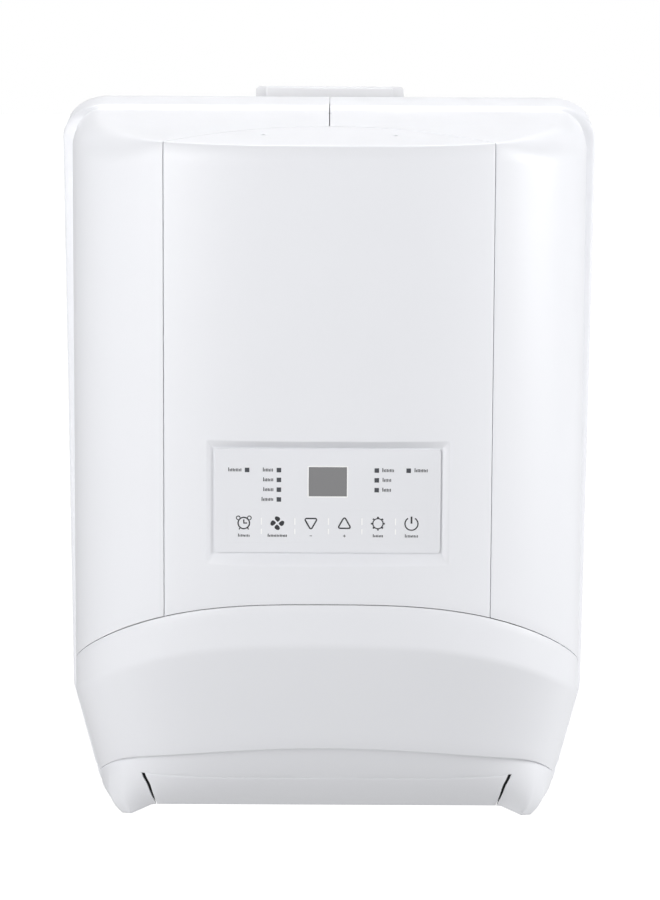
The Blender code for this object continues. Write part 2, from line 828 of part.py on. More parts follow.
PIVOT_EAR = (
    (-0.1110, -0.2320),
    (-0.1110, -0.2245),
    (-0.1340, -0.2240),
    (-0.1385, -0.2265),
    (-0.1385, -0.2315),
    (-0.1340, -0.2335),
    (-0.1170, -0.2325),
)


def base_pan():
    outline = []
    for x, y in ((0.1445, -0.044), (0.1445, -0.100), (0.136, -0.118)):
        outline.append((x, y))
    outline += [(-x, y) for x, y in outline[::-1]]
    obj = plate("base_pan", outline, *PAN_Z, axis="Z")
    for side in (-1, 1):
        low, high = sorted((side * 0.1170, side * 0.1200))
        ear = plate_x("pivot_ear", PIVOT_EAR, low, high)
        join(obj, ear)
    bores = []
    for side in (-1, 1):
        start = min(side * 0.115, side * 0.123)
        bores.append(cylinder("bore", PIVOT_RADIUS + RUNNING, (start, PIVOT_Y, PIVOT_Z), 0.008, "X", 16))
    cut(obj, merged("pivot_bores", bores))
    finish(obj, SILVER, 0.4, 0.8)


def filter_cassette():
    low, high = FILTER_Z
    half = FILTER_HALF_WIDTH
    frame = box("filter_frame", (-half, FILTER_Y[0], low), (half, FILTER_Y[1], high))
    windows = []
    border = 0.008
    for side in (-1, 1):
        low_x, high_x = sorted((side * 0.003, side * (FILTER_HALF_WIDTH - border)))
        for part in (0, 1):
            z = mix(low, high, part / 2)
            bottom = z + (border if part == 0 else 0.003)
            top = z + (high - low) / 2 - (0.003 if part == 0 else border)
            windows.append(box("window", (low_x, -0.05, bottom), (high_x, 0.0, top)))
    cut(frame, merged("filter_windows", windows))
    handle = box("handle", (-0.020, FILTER_Y[0], high - 0.0005), (0.020, FILTER_Y[0] + 0.002, high + 0.010))
    join(frame, handle)
    pocket = box(
        "pocket",
        (-0.0825, FILTER_Y[1] - 0.002, low + 0.004),
        (0.0825, FILTER_Y[1] + 0.001, high - 0.004),
    )
    cut(frame, pocket)
    finish(frame, GREY, 0.5)
    sheet = box(
        "filter_mesh",
        (-0.0822, FILTER_Y[1] - 0.0015, low + 0.0043),
        (0.0822, FILTER_Y[1] - 0.0005, high - 0.0043),
    )
    finish(sheet, GREY, 0.8)
    for side, name in ((-1, "left"), (1, "right")):
        inner = FILTER_HALF_WIDTH + 0.0005
        outline = (
            (inner, BACK_REAR_Y + GAP),
            (inner + 0.005, BACK_REAR_Y + GAP),
            (inner + 0.005, FILTER_Y[1] + 0.0030),
            (inner - 0.003, FILTER_Y[1] + 0.0030),
            (inner - 0.003, FILTER_Y[1] + 0.0006),
            (inner, FILTER_Y[1] + 0.0006),
        )
        outline = [(side * x, y) for x, y in outline]
        rail = plate("filter_rail_" + name, outline, low - 0.003, high - 0.030, axis="Z")
        stop_low, stop_high = sorted((side * (inner - 0.010), side * (inner + 0.002)))
        stop = box(
            "stop",
            (stop_low, BACK_REAR_Y + GAP, low - 0.0035),
            (stop_high, FILTER_Y[1] + 0.0028, low - GAP),
        )
        join(rail, stop)
        finish(rail, WHITE, 0.5)


def wall_bracket():
    neck, half = BRACKET_NECK_HALF_WIDTH, BRACKET_HALF_WIDTH
    outline = [
        (half, -BRACKET_HALF_HEIGHT),
        (half, BRACKET_HALF_HEIGHT),
        (neck, BRACKET_HALF_HEIGHT + 0.010),
        (neck, BRACKET_TOP_Z - 0.002),
        (neck - 0.002, BRACKET_TOP_Z),
    ]
    outline += [(-x, z) for x, z in outline[::-1]]
    obj = plate("wall_bracket", outline, -BRACKET_THICKNESS, 0.0)
    window = box("bracket_window", (-0.060, -0.05, 0.030), (0.060, 0.05, 0.120))
    holes = [window]
    for side in (-1, 1):
        for z in (-0.120, 0.125):
            holes.append(cylinder("hole", 0.003, (side * 0.085, -0.02, z), 0.04, "Y", 12))
    cut(obj, merged("bracket_holes", holes))
    for side in (-1, 1):
        low_x, high_x = side * HOOK_X - HOOK_HALF_WIDTH, side * HOOK_X + HOOK_HALF_WIDTH
        tip_back, foot = HOOK_TIP_Y + 0.003, HOOK_Z - 0.003
        arm = box("hook_arm", (low_x, HOOK_TIP_Y, foot), (high_x, -0.001, HOOK_Z))
        tip = box("hook_tip", (low_x, HOOK_TIP_Y, foot), (high_x, tip_back, HOOK_Z + 0.010))
        join(arm, tip)
        join(obj, as_mesh(arm))
    finish(obj, WHITE, 0.45)


def wall_spacers():
    for side, name in ((-1, "left"), (1, "right")):
        length = -BACK_REAR_Y - GAP - BRACKET_THICKNESS - GAP
        profile = [
            (0.0, length),
            (SPACER_RADIUS - 0.002, length),
            (SPACER_RADIUS, length - 0.002),
            (SPACER_RADIUS, 0.0),
            (0.0, 0.0),
        ]
        start = (side * SPACER_X * 0.6, BACK_REAR_Y + GAP, SPACER_Z)
        finish(turned("wall_spacer_" + name, profile, start, "Y"), BLACK, 0.9)


# ---------------------------------------------------------------- refrigerating circuit
def coil(name, depths, colour):
    """A fin pack with return bends at both ends."""
    low, high = COIL_Z
    pack = box(name, (-COIL_HALF_WIDTH, depths[0], low), (COIL_HALF_WIDTH, depths[1], high))
    middle = (depths[0] + depths[1]) / 2
    pitch = (high - low) / BEND_COUNT
    bends = []
    for side in (-1, 1):
        for k in range(BEND_COUNT - (side < 0)):
            centre = low + pitch * (k + (0.5 if side > 0 else 1.0))
            route = [(side * (COIL_HALF_WIDTH - 0.004), middle, centre - BEND_RADIUS)]
            for step in range(7):
                turn = math.radians(-90 + 30 * step)
                out = COIL_HALF_WIDTH + 0.002 + BEND_RADIUS * math.cos(turn)
                route.append((side * out, middle, centre + BEND_RADIUS * math.sin(turn)))
            route.append((side * (COIL_HALF_WIDTH - 0.004), middle, centre + BEND_RADIUS))
            bends.append(as_mesh(tube("bend", route, BEND_TUBE, 1)))
    join(pack, merged(name + "_bends", bends))
    finish(pack, colour, 0.35, 0.8)


def drip_tray():
    obj = box("drip_tray", (-0.134, -0.117, -0.014), (0.134, -0.056, 0.001))
    hollow = box("tray_hollow", (-0.132, -0.115, -0.0125), (0.132, -0.058, 0.010))
    cut(obj, hollow)
    cut(obj, cylinder("tray_drain", 0.004, (0.052, -0.066, -0.020), 0.012, "Z", 12))
    for x in (-0.10, 0.10):
        rest = box("tray_rest", (x - 0.004, -0.116, -0.013), (x + 0.004, -0.057, 0.0055))
        join(obj, rest)
    finish(obj, WHITE, 0.5)


def compressor():
    x, y = COMPRESSOR_AT
    low, high = COMPRESSOR_Z
    r = COMPRESSOR_RADIUS
    profile = [
        (0.0, high),
        (0.016, high - 0.001),
        (0.034, high - 0.008),
        (r - 0.001, high - 0.018),
        (r, high - 0.026),
        (r, low + 0.016),
        (r - 0.008, low + 0.004),
        (r - 0.020, low),
        (0.0, low),
    ]
    obj = as_mesh(turned("compressor", profile, (x, y, 0), steps=24))
    outline = []
    for turn in (90, 210, 330):
        for offset in (-16, 0, 16):
            angle = math.radians(turn + offset)
            reach = 0.050 if offset == 0 else 0.048
            outline.append((x + reach * math.cos(angle) * 1.05, y + reach * 0.86 * math.sin(angle)))
    join(obj, plate("feet_plate", outline, low + 0.001, low + 0.004, axis="Z"))
    for turn, name in ((90, "1"), (210, "2"), (330, "3")):
        angle = math.radians(turn)
        place = (x + 0.046 * math.cos(angle) * 1.05, y + 0.046 * 0.86 * math.sin(angle), 0)
        top = low + 0.001 - GAP
        bottom = PAN_Z[1] + GAP
        rubber = [
            (0.0, top),
            (0.006, top),
            (0.006, top - 0.003),
            (0.005, top - 0.005),
            (0.007, bottom + 0.003),
            (0.007, bottom),
            (0.0, bottom),
        ]
        finish(turned("compressor_mount_" + name, rubber, place, steps=12), BLACK, 0.9)
    finish(obj, BLACK, 0.4, 0.3)


def vessel(name, x, y, low, high, radius, neck, colour):
    """A small upright pressure vessel with a neck at each end."""
    cone = radius * 0.8
    profile = [
        (0.0, high),
        (neck, high),
        (neck, high - 0.006),
        (radius, high - 0.006 - cone),
        (radius, low + 0.006 + cone),
        (neck, low + 0.006),
        (neck, low),
        (0.0, low),
    ]
    finish(turned(name, profile, (x, y, 0), steps=14), colour, 0.35, 0.7)


def pipes():
    cx, cy = COMPRESSOR_AT
    ax, ay = ACCUMULATOR_AT
    dx, dy = DRIER_AT
    lid = COMPRESSOR_Z[1]
    vessel("accumulator", ax, ay, -0.206, -0.092, 0.016, 0.005, BLACK)
    vessel("filter_drier", dx, dy, -0.120, -0.060, 0.009, 0.004, COPPER)
    down = [
        (ax, ay, -0.206 - GAP),
        (ax, ay, -0.216),
        (ax + 0.024, ay, -0.216),
        (ax + 0.024, ay, -0.190),
        (cx - COMPRESSOR_RADIUS - 2 * GAP, cy, -0.190),
    ]
    finish(as_mesh(tube("crossover_pipe", rounded_route(down, 0.005), 0.003)), COPPER, 0.3, 0.9)
    middle = (EVAPORATOR_Y[0] + EVAPORATOR_Y[1]) / 2
    suction = [
        (ax, ay, -0.092 + GAP),
        (ax, ay, -0.030),
        (0.142, ay, -0.030),
        (0.142, middle, -0.030),
        (0.142, middle, 0.0545),
        (COIL_HALF_WIDTH + GAP, middle, 0.0545),
    ]
    finish(as_mesh(tube("suction_pipe", rounded_route(suction, 0.006), 0.004)), COPPER, 0.3, 0.9)
    middle = (CONDENSER_Y[0] + CONDENSER_Y[1]) / 2
    discharge = [
        (cx, cy, lid + GAP),
        (cx, cy, -0.050),
        (0.152, middle, -0.050),
        (0.152, middle, 0.1945),
        (COIL_HALF_WIDTH + GAP, middle, 0.1945),
    ]
    finish(as_mesh(tube("discharge_pipe", rounded_route(discharge, 0.010), 0.003)), COPPER, 0.3, 0.9)
    turns = []
    for step in range(4 * 12 + 1):
        turn = 2 * math.pi * step / 12
        turns.append((dx + 0.008 * math.cos(turn), dy + 0.008 * math.sin(turn), -0.050 + 0.0045 * step / 12))
    first = [(dx, dy, -0.060 + GAP), (dx, dy, -0.056)]
    finish(as_mesh(tube("capillary_tube", first + turns, 0.0014, 1)), COPPER, 0.3, 0.9)


# ---------------------------------------------------------------- fan, scroll, duct and vanes
def scroll_outline(grow):
    """The scroll's spiral, as (x, z) points, ending in its outlet throat."""
    points = []
    for step in range(25):
        turn = math.radians(-25 + 295 * step / 24)
        radius = mix(SCROLL_SMALL, SCROLL_LARGE, step / 24) + grow
        points.append((radius * math.cos(math.pi - turn), FAN_Z - radius * math.sin(math.pi - turn)))
    return points


def blower():
    """The scroll casing with its inlet, and the throat that leads down from it."""
    outer = []
    for step in range(25):
        turn = math.radians(-50 + 230 * step / 24)
        radius = mix(SCROLL_SMALL, SCROLL_LARGE, step / 24)
        outer.append((turn, radius))

    def outline(shrink, low):
        points = [((radius - shrink) * math.cos(turn), FAN_Z + (radius - shrink) * math.sin(turn))
                  for turn, radius in outer]
        left = -(SCROLL_LARGE - shrink)
        right = points[0][0]
        return points + [(left, low), (right, low)]

    solid = plate("blower_scroll", outline(0.0, SCROLL_OUTLET_Z), *SCROLL_Y)
    inner = plate(
        "scroll_hollow",
        outline(SCROLL_WALL, SCROLL_OUTLET_Z - 0.010),
        SCROLL_Y[0] + SCROLL_WALL,
        SCROLL_Y[1] - SCROLL_WALL,
    )
    inlet = cylinder("scroll_inlet", 0.050, (0, SCROLL_Y[1] - 0.005, FAN_Z), 0.010, "Y", 28)
    motor_hole = cylinder("motor_hole", 0.031, (0, SCROLL_Y[0] - 0.005, FAN_Z), 0.010, "Y", 24)
    cut(solid, inner)
    cut(solid, merged("scroll_holes", [inlet, motor_hole]))
    finish(solid, BLACK, 0.6)


def blower_wheel():
    """A backplate, a front ring, and forward-curved blades between them."""
    back, front = FAN_Y[1], FAN_Y[0]
    plate_y = front + 0.002
    wheel = cylinder("blower_wheel", FAN_RADIUS, (0, front, FAN_Z), 0.002, "Y", 36)
    hub = cylinder("hub", 0.010, (0, front + 0.001, FAN_Z), 0.020, "Y", 20)
    ring = cylinder("ring", FAN_RADIUS, (0, back - 0.002, FAN_Z), 0.002, "Y", 36)
    cut(ring, cylinder("ring_hole", FAN_RADIUS - 0.010, (0, back - 0.010, FAN_Z), 0.020, "Y", 36))
    blades = []
    for k in range(FAN_BLADES):
        turn = 2 * math.pi * k / FAN_BLADES
        blade = box(
            "blade",
            (FAN_RADIUS - 0.0095, plate_y - 0.001, -0.0005),
            (FAN_RADIUS - 0.0005, back - 0.001, 0.0005),
        )
        lean = Matrix.Translation((FAN_RADIUS - 0.005, 0, 0)) @ Matrix.Rotation(math.radians(35), 4, "Y")
        lean = lean @ Matrix.Translation((-FAN_RADIUS + 0.005, 0, 0))
        blade.matrix_world = Matrix.Translation((0, 0, FAN_Z)) @ Matrix.Rotation(turn, 4, "Y") @ lean
        blades.append(blade)
    bpy.context.view_layer.update()
    join(wheel, as_mesh(ring))
    join(wheel, hub)
    join(wheel, merged("blades", blades))
    cut(wheel, cylinder("hub_bore", SHAFT_RADIUS + RUNNING, (0, front - 0.010, FAN_Z), 0.050, "Y", 16))
    wheel = as_mesh(wheel)
    move_origin(wheel, (0, (front + back) / 2, FAN_Z))
    finish(wheel, WHITE, 0.5)
    shaft = cylinder("fan_shaft", SHAFT_RADIUS, (0, -0.199, FAN_Z), 0.055, "Y", 16)
    move_origin(shaft, (0, -0.199, FAN_Z))
    finish(shaft, SILVER, 0.2, 1.0)


def move_origin(obj, place):
    """Puts a mesh object's origin at a world point and leaves its shape where it is."""
    shift = Matrix.Translation(-Vector(place))
    obj.data.transform(shift @ obj.matrix_world)
    obj.matrix_world = Matrix.Translation(place)


def fan_motor():
    """The motor's can, open at the shaft's end, and the plate that carries it."""
    start = (0, -0.2130, FAN_Z)
    length = 0.0290
    bore = SHAFT_RADIUS + RUNNING
    profile = [
        (bore, length),
        (0.010, length),
        (0.010, length - 0.004),
        (0.027, length - 0.005),
        (0.029, length - 0.008),
        (0.029, 0.004),
        (0.026, 0.0),
        (0.0, 0.0),
        (0.0, 0.012),
        (bore, 0.012),
        (bore, length),
    ]
    finish(turned("fan_motor", profile, start, "Y", 24), BLACK, 0.5, 0.4)
    half = [(0.014, FAN_Z - 0.045), (0.060, FAN_Z - 0.014), (0.060, FAN_Z + 0.014), (0.014, FAN_Z + 0.045)]
    outline = half + [(-x, z) for x, z in half[::-1]]
    holder = plate("motor_bracket", outline, SCROLL_Y[0] - GAP - 0.002, SCROLL_Y[0] - GAP)
    cut(holder, cylinder("holder_hole", 0.0296, (0, -0.190, FAN_Z), 0.02, "Y", 24))
    finish(holder, SILVER, 0.4, 0.8)


def air_duct():
    """The duct from the scroll's throat down to the outlet, widening as it goes."""
    left, right = -SCROLL_LARGE, SCROLL_SMALL * math.cos(math.radians(-50))
    stations = (
        # centre x, half width, then y, z of the front and of the rear
        ((left + right) / 2, (right - left) / 2, (SCROLL_Y[0], -0.0045), (SCROLL_Y[1], -0.0045)),
        (-0.020, 0.080, (-0.187, -0.045), (-0.142, -0.045)),
        (-0.004, 0.100, (-0.190, -0.095), (-0.149, -0.095)),
        (0.0, 0.106, (-0.188, -0.140), (-0.149, -0.140)),
        (0.0, 0.106, (-0.184, -0.180), (-0.149, -0.190)),
        (0.0, 0.106, (-0.173, -0.197), (-0.146, -0.226)),
    )
    rows = []
    for centre, half, front, rear in stations:
        row = []
        for x, (y, z) in (
            (centre - half, front),
            (centre, front),
            (centre + half, front),
            (centre + half, rear),
            (centre, rear),
            (centre - half, rear),
        ):
            row.append((x, y, z))
        rows.append(row + row[:1])
    shape = bmesh.new()
    rings = [[shape.verts.new(place) for place in row[:-1]] for row in rows]
    for lower, upper in zip(rings, rings[1:]):
        for i in range(6):
            shape.faces.new([lower[i], lower[(i + 1) % 6], upper[(i + 1) % 6], upper[i]][::-1])
    obj = mesh_object("air_duct", shape)
    wall = obj.modifiers.new("wall", "SOLIDIFY")
    wall.thickness = 0.0018
    wall.offset = 1
    wall.use_even_offset = True
    pins = []
    for x in VANE_XS:
        bore = VANE_PIN_RADIUS + 1.5 * RUNNING
        pins.append(cylinder("vane_bore", bore, (x, -0.205, VANE_Z), 0.064, "Y", 12))
    cut(obj, merged("vane_bores", pins))
    finish(obj, BLACK, 0.6)


def vanes():
    """Vertical vanes on pins along Y, each with a tab and a drive pin that the link bar's slot holds."""
    thick, deep, tall = VANE_SIZE
    drive_z = VANE_Z + LINK_ARM
    for number, x in enumerate(VANE_XS, 1):
        vane = box(
            f"vane_{number}",
            (x - thick / 2, VANE_Y - deep / 2, VANE_Z - tall / 2),
            (x + thick / 2, VANE_Y + deep / 2, VANE_Z + tall / 2),
        )
        tab = box(
            "tab",
            (x - thick / 2, VANE_Y - 0.003, VANE_Z),
            (x + thick / 2, VANE_Y + 0.003, drive_z + 0.0018),
        )
        pivot = cylinder(
            "pivot", VANE_PIN_RADIUS, (x, VANE_Y - VANE_PIN_REACH, VANE_Z), 2 * VANE_PIN_REACH, "Y", 12
        )
        start = LINK_Y[0] - 0.0004
        drive = cylinder("drive", LINK_PIN_RADIUS, (x, start, drive_z), VANE_Y + 0.002 - start, "Y", 10)
        join(vane, tab)
        join(vane, pivot)
        join(vane, drive)
        vane = as_mesh(vane)
        move_origin(vane, (x, VANE_Y, VANE_Z))
        finish(vane, BLACK, 0.6)
    reach = VANE_XS[-1] + 0.008
    bar = box("vane_link", (-reach, LINK_Y[0], drive_z - 0.0055), (reach, LINK_Y[1], drive_z + 0.0040))
    slots = []
    for x in VANE_XS:
        half = LINK_PIN_RADIUS + LINK_SLACK
        slots.append(
            box("slot", (x - half, -0.180, drive_z - 0.0040), (x + half, -0.170, drive_z + 0.0020))
        )
    cut(bar, merged("link_slots", slots))
    finish(bar, BLACK, 0.6)


def louver_motor():
    """The small geared motor beside the right-hand pivot."""
    obj = cylinder("louver_motor", 0.0060, (0.1222, PIVOT_Y + 0.006, PIVOT_Z + 0.004), 0.011, "X", 20)
    tab = box("tab", (0.1222, PIVOT_Y + 0.002, PIVOT_Z), (0.1240, PIVOT_Y + 0.022, PIVOT_Z + 0.007))
    join(obj, tab)
    finish(obj, SILVER, 0.3, 0.9)


# ---------------------------------------------------------------- control panel and electrics
def key_xs():
    return [KEY_PITCH * (k - (KEY_COUNT - 1) / 2) for k in range(KEY_COUNT)]


def led_places(side):
    """Indicator places on one side: a column of them and one further out."""
    count = 4 if side < 0 else 3
    places = [(side * LED_COLUMN_X, LED_TOP_Z - LED_PITCH * k) for k in range(count)]
    return places + [(side * LED_OUTER_X, LED_TOP_Z)]


def control_overlay():
    width, height = OVERLAY_SIZE
    obj = box(
        "control_overlay",
        (-width / 2, OVERLAY_FRONT_Y, CONTROL_Z - height / 2),
        (width / 2, OVERLAY_BACK_Y, CONTROL_Z + height / 2),
    )
    w, h = WINDOW_SIZE[0] / 2 + GAP, WINDOW_SIZE[1] / 2 + GAP
    holes = [box("hole", (-w, -0.23, WINDOW_Z - h), (w, -0.22, WINDOW_Z + h))]
    reach = LED_SIZE / 2 + 0.00015
    for x, z in led_places(-1) + led_places(1):
        holes.append(box("hole", (x - reach, -0.23, z - reach), (x + reach, -0.22, z + reach)))
    row = KEY_PITCH * KEY_COUNT / 2 + 0.00015
    tall = KEY_SIZE[1] / 2 + GAP
    holes.append(box("hole", (-row, -0.23, KEY_Z - tall), (row, -0.22, KEY_Z + tall)))
    cut(obj, merged("overlay_holes", holes))
    finish(obj, WHITE, 0.45)


def display():
    w, h = WINDOW_SIZE[0] / 2, WINDOW_SIZE[1] / 2
    window = box("display_window", (-w, OVERLAY_FRONT_Y, WINDOW_Z - h), (w, OVERLAY_BACK_Y, WINDOW_Z + h))
    finish(window, GREY, 0.15)
    module = box(
        "display_module",
        (-0.011, RECESS_FLOOR_Y + GAP, WINDOW_Z - 0.0085),
        (0.011, BOARD_Y[0] - GAP, WINDOW_Z + 0.0085),
    )
    finish(module, BLACK, 0.4)


def light_guides():
    for side, name in ((-1, "left"), (1, "right")):
        places = led_places(side)
        xs = [x for x, _ in places]
        zs = [z for _, z in places]
        base_low = (min(xs) - 0.002, -0.2216, min(zs) - 0.002)
        base_high = (max(xs) + 0.002, -0.2204, max(zs) + 0.002)
        base = box("light_guide_" + name, base_low, base_high)
        for x, z in places:
            reach = LED_SIZE / 2
            join(base, box("peg", (x - reach, OVERLAY_FRONT_Y, z - reach), (x + reach, -0.2210, z + reach)))
        finish(base, GREY, 0.3)


KEY_NAMES = ("timer", "fan_speed", "down", "up", "mode", "power")


def keys():
    """Flush membrane keys, each with a stem that reaches through the panel to its switch."""
    w, h = KEY_SIZE[0] / 2, KEY_SIZE[1] / 2
    for x, name in zip(key_xs(), KEY_NAMES):
        key = box(
            "key_" + name,
            (x - w, OVERLAY_FRONT_Y, KEY_Z - h),
            (x + w, OVERLAY_FRONT_Y + KEY_THICKNESS, KEY_Z + h),
        )
        stem_end = BOARD_Y[0] - 0.0008
        join(
            key,
            cylinder(
                "stem",
                KEY_STEM_RADIUS,
                (x, OVERLAY_FRONT_Y + KEY_THICKNESS / 2, KEY_Z),
                stem_end - OVERLAY_FRONT_Y - KEY_THICKNESS / 2,
                "Y",
                10,
            ),
        )
        key = as_mesh(key)
        move_origin(key, (x, OVERLAY_FRONT_Y, KEY_Z))
        finish(key, WHITE, 0.45)


def boards():
    control = box("control_board", (-0.072, BOARD_Y[0], -0.050), (0.072, BOARD_Y[1], 0.016))
    finish(control, GREEN, 0.4)
    main = box("main_board", (-0.148, -0.0710, -0.190), (-0.066, -0.0694, -0.080))
    parts = [
        box("relay", (-0.140, -0.088, -0.110), (-0.122, -0.0700, -0.090)),
        box("transformer", (-0.110, -0.093, -0.128), (-0.080, -0.0700, -0.098)),
        box("connector", (-0.140, -0.080, -0.176), (-0.100, -0.0700, -0.164)),
    ]
    for part in parts:
        join(main, part)
    finish(main, GREEN, 0.4)
    cover = box("board_cover", (-0.153, -0.100, -0.195), (-0.061, -0.0650, -0.075))
    cut(cover, box("cover_hollow", (-0.151, -0.098, -0.193), (-0.063, -0.0600, -0.077)))
    finish(cover, SILVER, 0.4, 0.8)
    can = [
        (0.0, -0.160),
        (0.013, -0.160),
        (0.015, -0.162),
        (0.015, -0.228),
        (0.013, PAN_Z[1] + GAP),
        (0.0, PAN_Z[1] + GAP),
    ]
    finish(turned("run_capacitor", can, (-0.030, -0.075, 0), steps=16), SILVER, 0.4, 0.6)
    inlet = box("power_inlet", (-0.140, -0.058, -0.188), (-0.110, -0.0335, -0.162))
    cut(inlet, box("inlet_socket", (-0.137, -0.050, -0.185), (-0.113, -0.020, -0.165)))
    for x in (-0.131, -0.125, -0.119):
        z = -0.175 + (0.004 if x == -0.125 else 0.0)
        join(inlet, box("pin", (x - 0.001, -0.051, z - 0.003), (x + 0.001, -0.0400, z + 0.003)))
    finish(inlet, BLACK, 0.5)


def drain():
    """A spigot through the back panel and its push-on cap."""
    place = (0.052, -0.060, -0.205)
    spigot = [
        (0.0028, 0.036),
        (0.0042, 0.036),
        (0.0050, 0.034),
        (0.0050, 0.0),
        (0.0, 0.0),
        (0.0, 0.004),
        (0.0028, 0.004),
        (0.0028, 0.036),
    ]
    finish(turned("drain_spigot", spigot, place, "Y", 16), WHITE, 0.5)
    cap_at = (0.052, -0.0345, -0.205)
    cap = [
        (0.0, 0.014),
        (0.0065, 0.014),
        (0.0072, 0.0125),
        (0.0072, 0.0),
        (0.0053, 0.0),
        (0.0053, 0.0115),
        (0.0, 0.0115),
    ]
    finish(turned("drain_cap", cap, cap_at, "Y", 16), BLACK, 0.8)


def main():
    side_shells()
    front_panel()
    outlet_hood()
    louver_flap()
    back_panel()
    base_pan()
    filter_cassette()
    wall_bracket()
    wall_spacers()
    coil("evaporator_coil", EVAPORATOR_Y, SILVER)
    coil("condenser_coil", CONDENSER_Y, SILVER)
    drip_tray()
    compressor()
    pipes()
    blower()
    blower_wheel()
    fan_motor()
    air_duct()
    vanes()
    louver_motor()
    control_overlay()
    display()
    light_guides()
    keys()
    boards()
    drain()


main()
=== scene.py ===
"""Looks of a wall-hung dehumidifier: fine shells, panel marks, fittings, materials, light and camera."""

import json
import math

import bmesh
import bpy
from mathutils import Matrix, Vector

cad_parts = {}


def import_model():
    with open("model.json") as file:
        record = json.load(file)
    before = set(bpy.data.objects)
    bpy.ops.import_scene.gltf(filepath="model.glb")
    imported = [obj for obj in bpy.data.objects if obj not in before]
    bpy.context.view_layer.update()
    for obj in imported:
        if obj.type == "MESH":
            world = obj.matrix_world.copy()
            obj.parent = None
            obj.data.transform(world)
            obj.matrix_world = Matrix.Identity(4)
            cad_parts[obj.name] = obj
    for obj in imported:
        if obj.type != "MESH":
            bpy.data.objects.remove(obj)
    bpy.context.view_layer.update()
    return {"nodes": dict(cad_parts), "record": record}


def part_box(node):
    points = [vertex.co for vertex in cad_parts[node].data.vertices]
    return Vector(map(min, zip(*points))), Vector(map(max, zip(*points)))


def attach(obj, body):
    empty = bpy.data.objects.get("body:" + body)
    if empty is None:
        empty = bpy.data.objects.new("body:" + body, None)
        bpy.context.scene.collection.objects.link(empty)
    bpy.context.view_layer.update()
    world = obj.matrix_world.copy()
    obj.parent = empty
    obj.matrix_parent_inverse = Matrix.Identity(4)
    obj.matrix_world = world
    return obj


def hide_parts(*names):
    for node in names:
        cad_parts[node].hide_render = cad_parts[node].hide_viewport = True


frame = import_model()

# ---------------- dimensions, in metres, as the CAD has them
BODY_HALF_WIDTH = 0.172
BODY_DEPTH = 0.153  # from the rim to the front
PLAN_POWER = 3.0  # of the rounded plan outline
RIM_Y = -0.078
REAR_Y = -0.035
FRONT_Y = RIM_Y - BODY_DEPTH
TOP_AT_RIM = 0.2253
TOP_SLOPE = 0.096
TOP_RADIUS = 0.020  # of the round between the top and the sides
EDGE_LEAN_HEIGHT = 0.012  # the front leans back a little below its crisp top edge
EDGE_LEAN = 0.0028
EDGE_LEAN_ANGLE = math.radians(27)
EDGE_ROUND = 0.0015
ROUND_FROM_X = 0.108  # the crisp edge grows into the round between these
ROUND_TO_X = 0.150
RIM_STEP_TOP = 0.0020
RIM_STEP_HIGH = 0.0085  # at the height RIM_STEP_Z; it narrows downwards
RIM_STEP_Z = 0.195
RIM_STEP_TAPER = 0.0125
WALL = 0.0022
SEAM = 0.0003
EDGE = 0.0005  # rounding of a moulding's edges

PANEL_HALF_WIDTH = 0.106
ARC_PEAK_Y = -0.1495
SEAM_Z = -0.0849  # of the lower seam and of the hood's crease, in the middle
CREASE_Z = -0.1126
ARCH_RATE = 0.9
SEAM_REACH = 0.170
CREASE_REACH = 0.130
CHIN_Z = -0.187
CHIN_DROP = 0.014
CHIN_DROP_X = 0.137
CHIN_END_DROP = 0.028
CHIN_END_X = 0.1595
CHIN_END_POWER = 16
CHIN_ROUND = 0.0012  # where the round over the chin's edge starts, and how far it runs inwards
CHIN_ROUND_RUN = 0.0009
SIDE_TAPER = 0.24
FRONT_TAPER = 0.40
LIP = 0.003  # width of the flat under the chin's edge
LIP_END = 0.0008  # its width at the rim, and where it starts to narrow
LIP_FROM = 0.88
LIP_DROP = 0.0008
FACE_BULGE = 0.004
CHEEK_BULGE = 0.006
CHEEK_FROM_X = 0.122
CHEEK_TO_X = 0.150
HOOD_FEET = (  # x of the lip, then the place of the hood's lower edge below it
    (0.0000, 0.0000, -0.150, -0.2394),
    (0.1276, 0.1176, -0.150, -0.2394),
    (0.1380, 0.1318, -0.150, -0.2460),
    (0.1470, 0.1388, -0.140, -0.2482),
    (0.1625, 0.1402, -0.078, -0.2482),
)
FLAP_TOP_Z = -0.2130
FLAP_LIP_X = 0.1247
LOUVER_PIVOT = (-0.134, -0.229)  # (y, z)
ARM_XS = (0.1100, 0.1125)
ARM_INWARD = Vector((0, 0.7, 0.7)) * 0.0016
ARM_EAR = ((-0.001, -0.0042), (0.0035, -0.0025), (0.0042, 0.0010), (0.0010, 0.0042))  # round the pivot
PIN_X = 0.1172
PIN_RADIUS = 0.0022
PIN_LENGTH = 0.0086
OPENING_TOP_Z = FLAP_TOP_Z + 0.00015
OPENING_SIDE = (  # (half width, z) down the side of the opening for the flap
    (0.1240, OPENING_TOP_Z),
    (0.1228, -0.2165),
    (0.1204, -0.2216),
    (0.1184, -0.2290),
    (0.1158, -0.2370),
    (0.1118, -0.2480),
)
OPENING_CUT_YS = (-0.220, -0.100)
SLOT_WIDTHS = (0.0022, 0.0004)  # of the dark slot beside the flap, at its top and foot
SHADE_STRIP_INNER = 0.0040  # how far a shade strip reaches inwards of the opening's edge
SHADE_STRIP_OUTER = 0.0020
SHADE_STRIP_START = 0.30  # part of the way down the face
SHADE_STRIP_BACK = Vector((0, 0.0022, 0.0022))
SHADE_STRIP_WALL = 0.0006

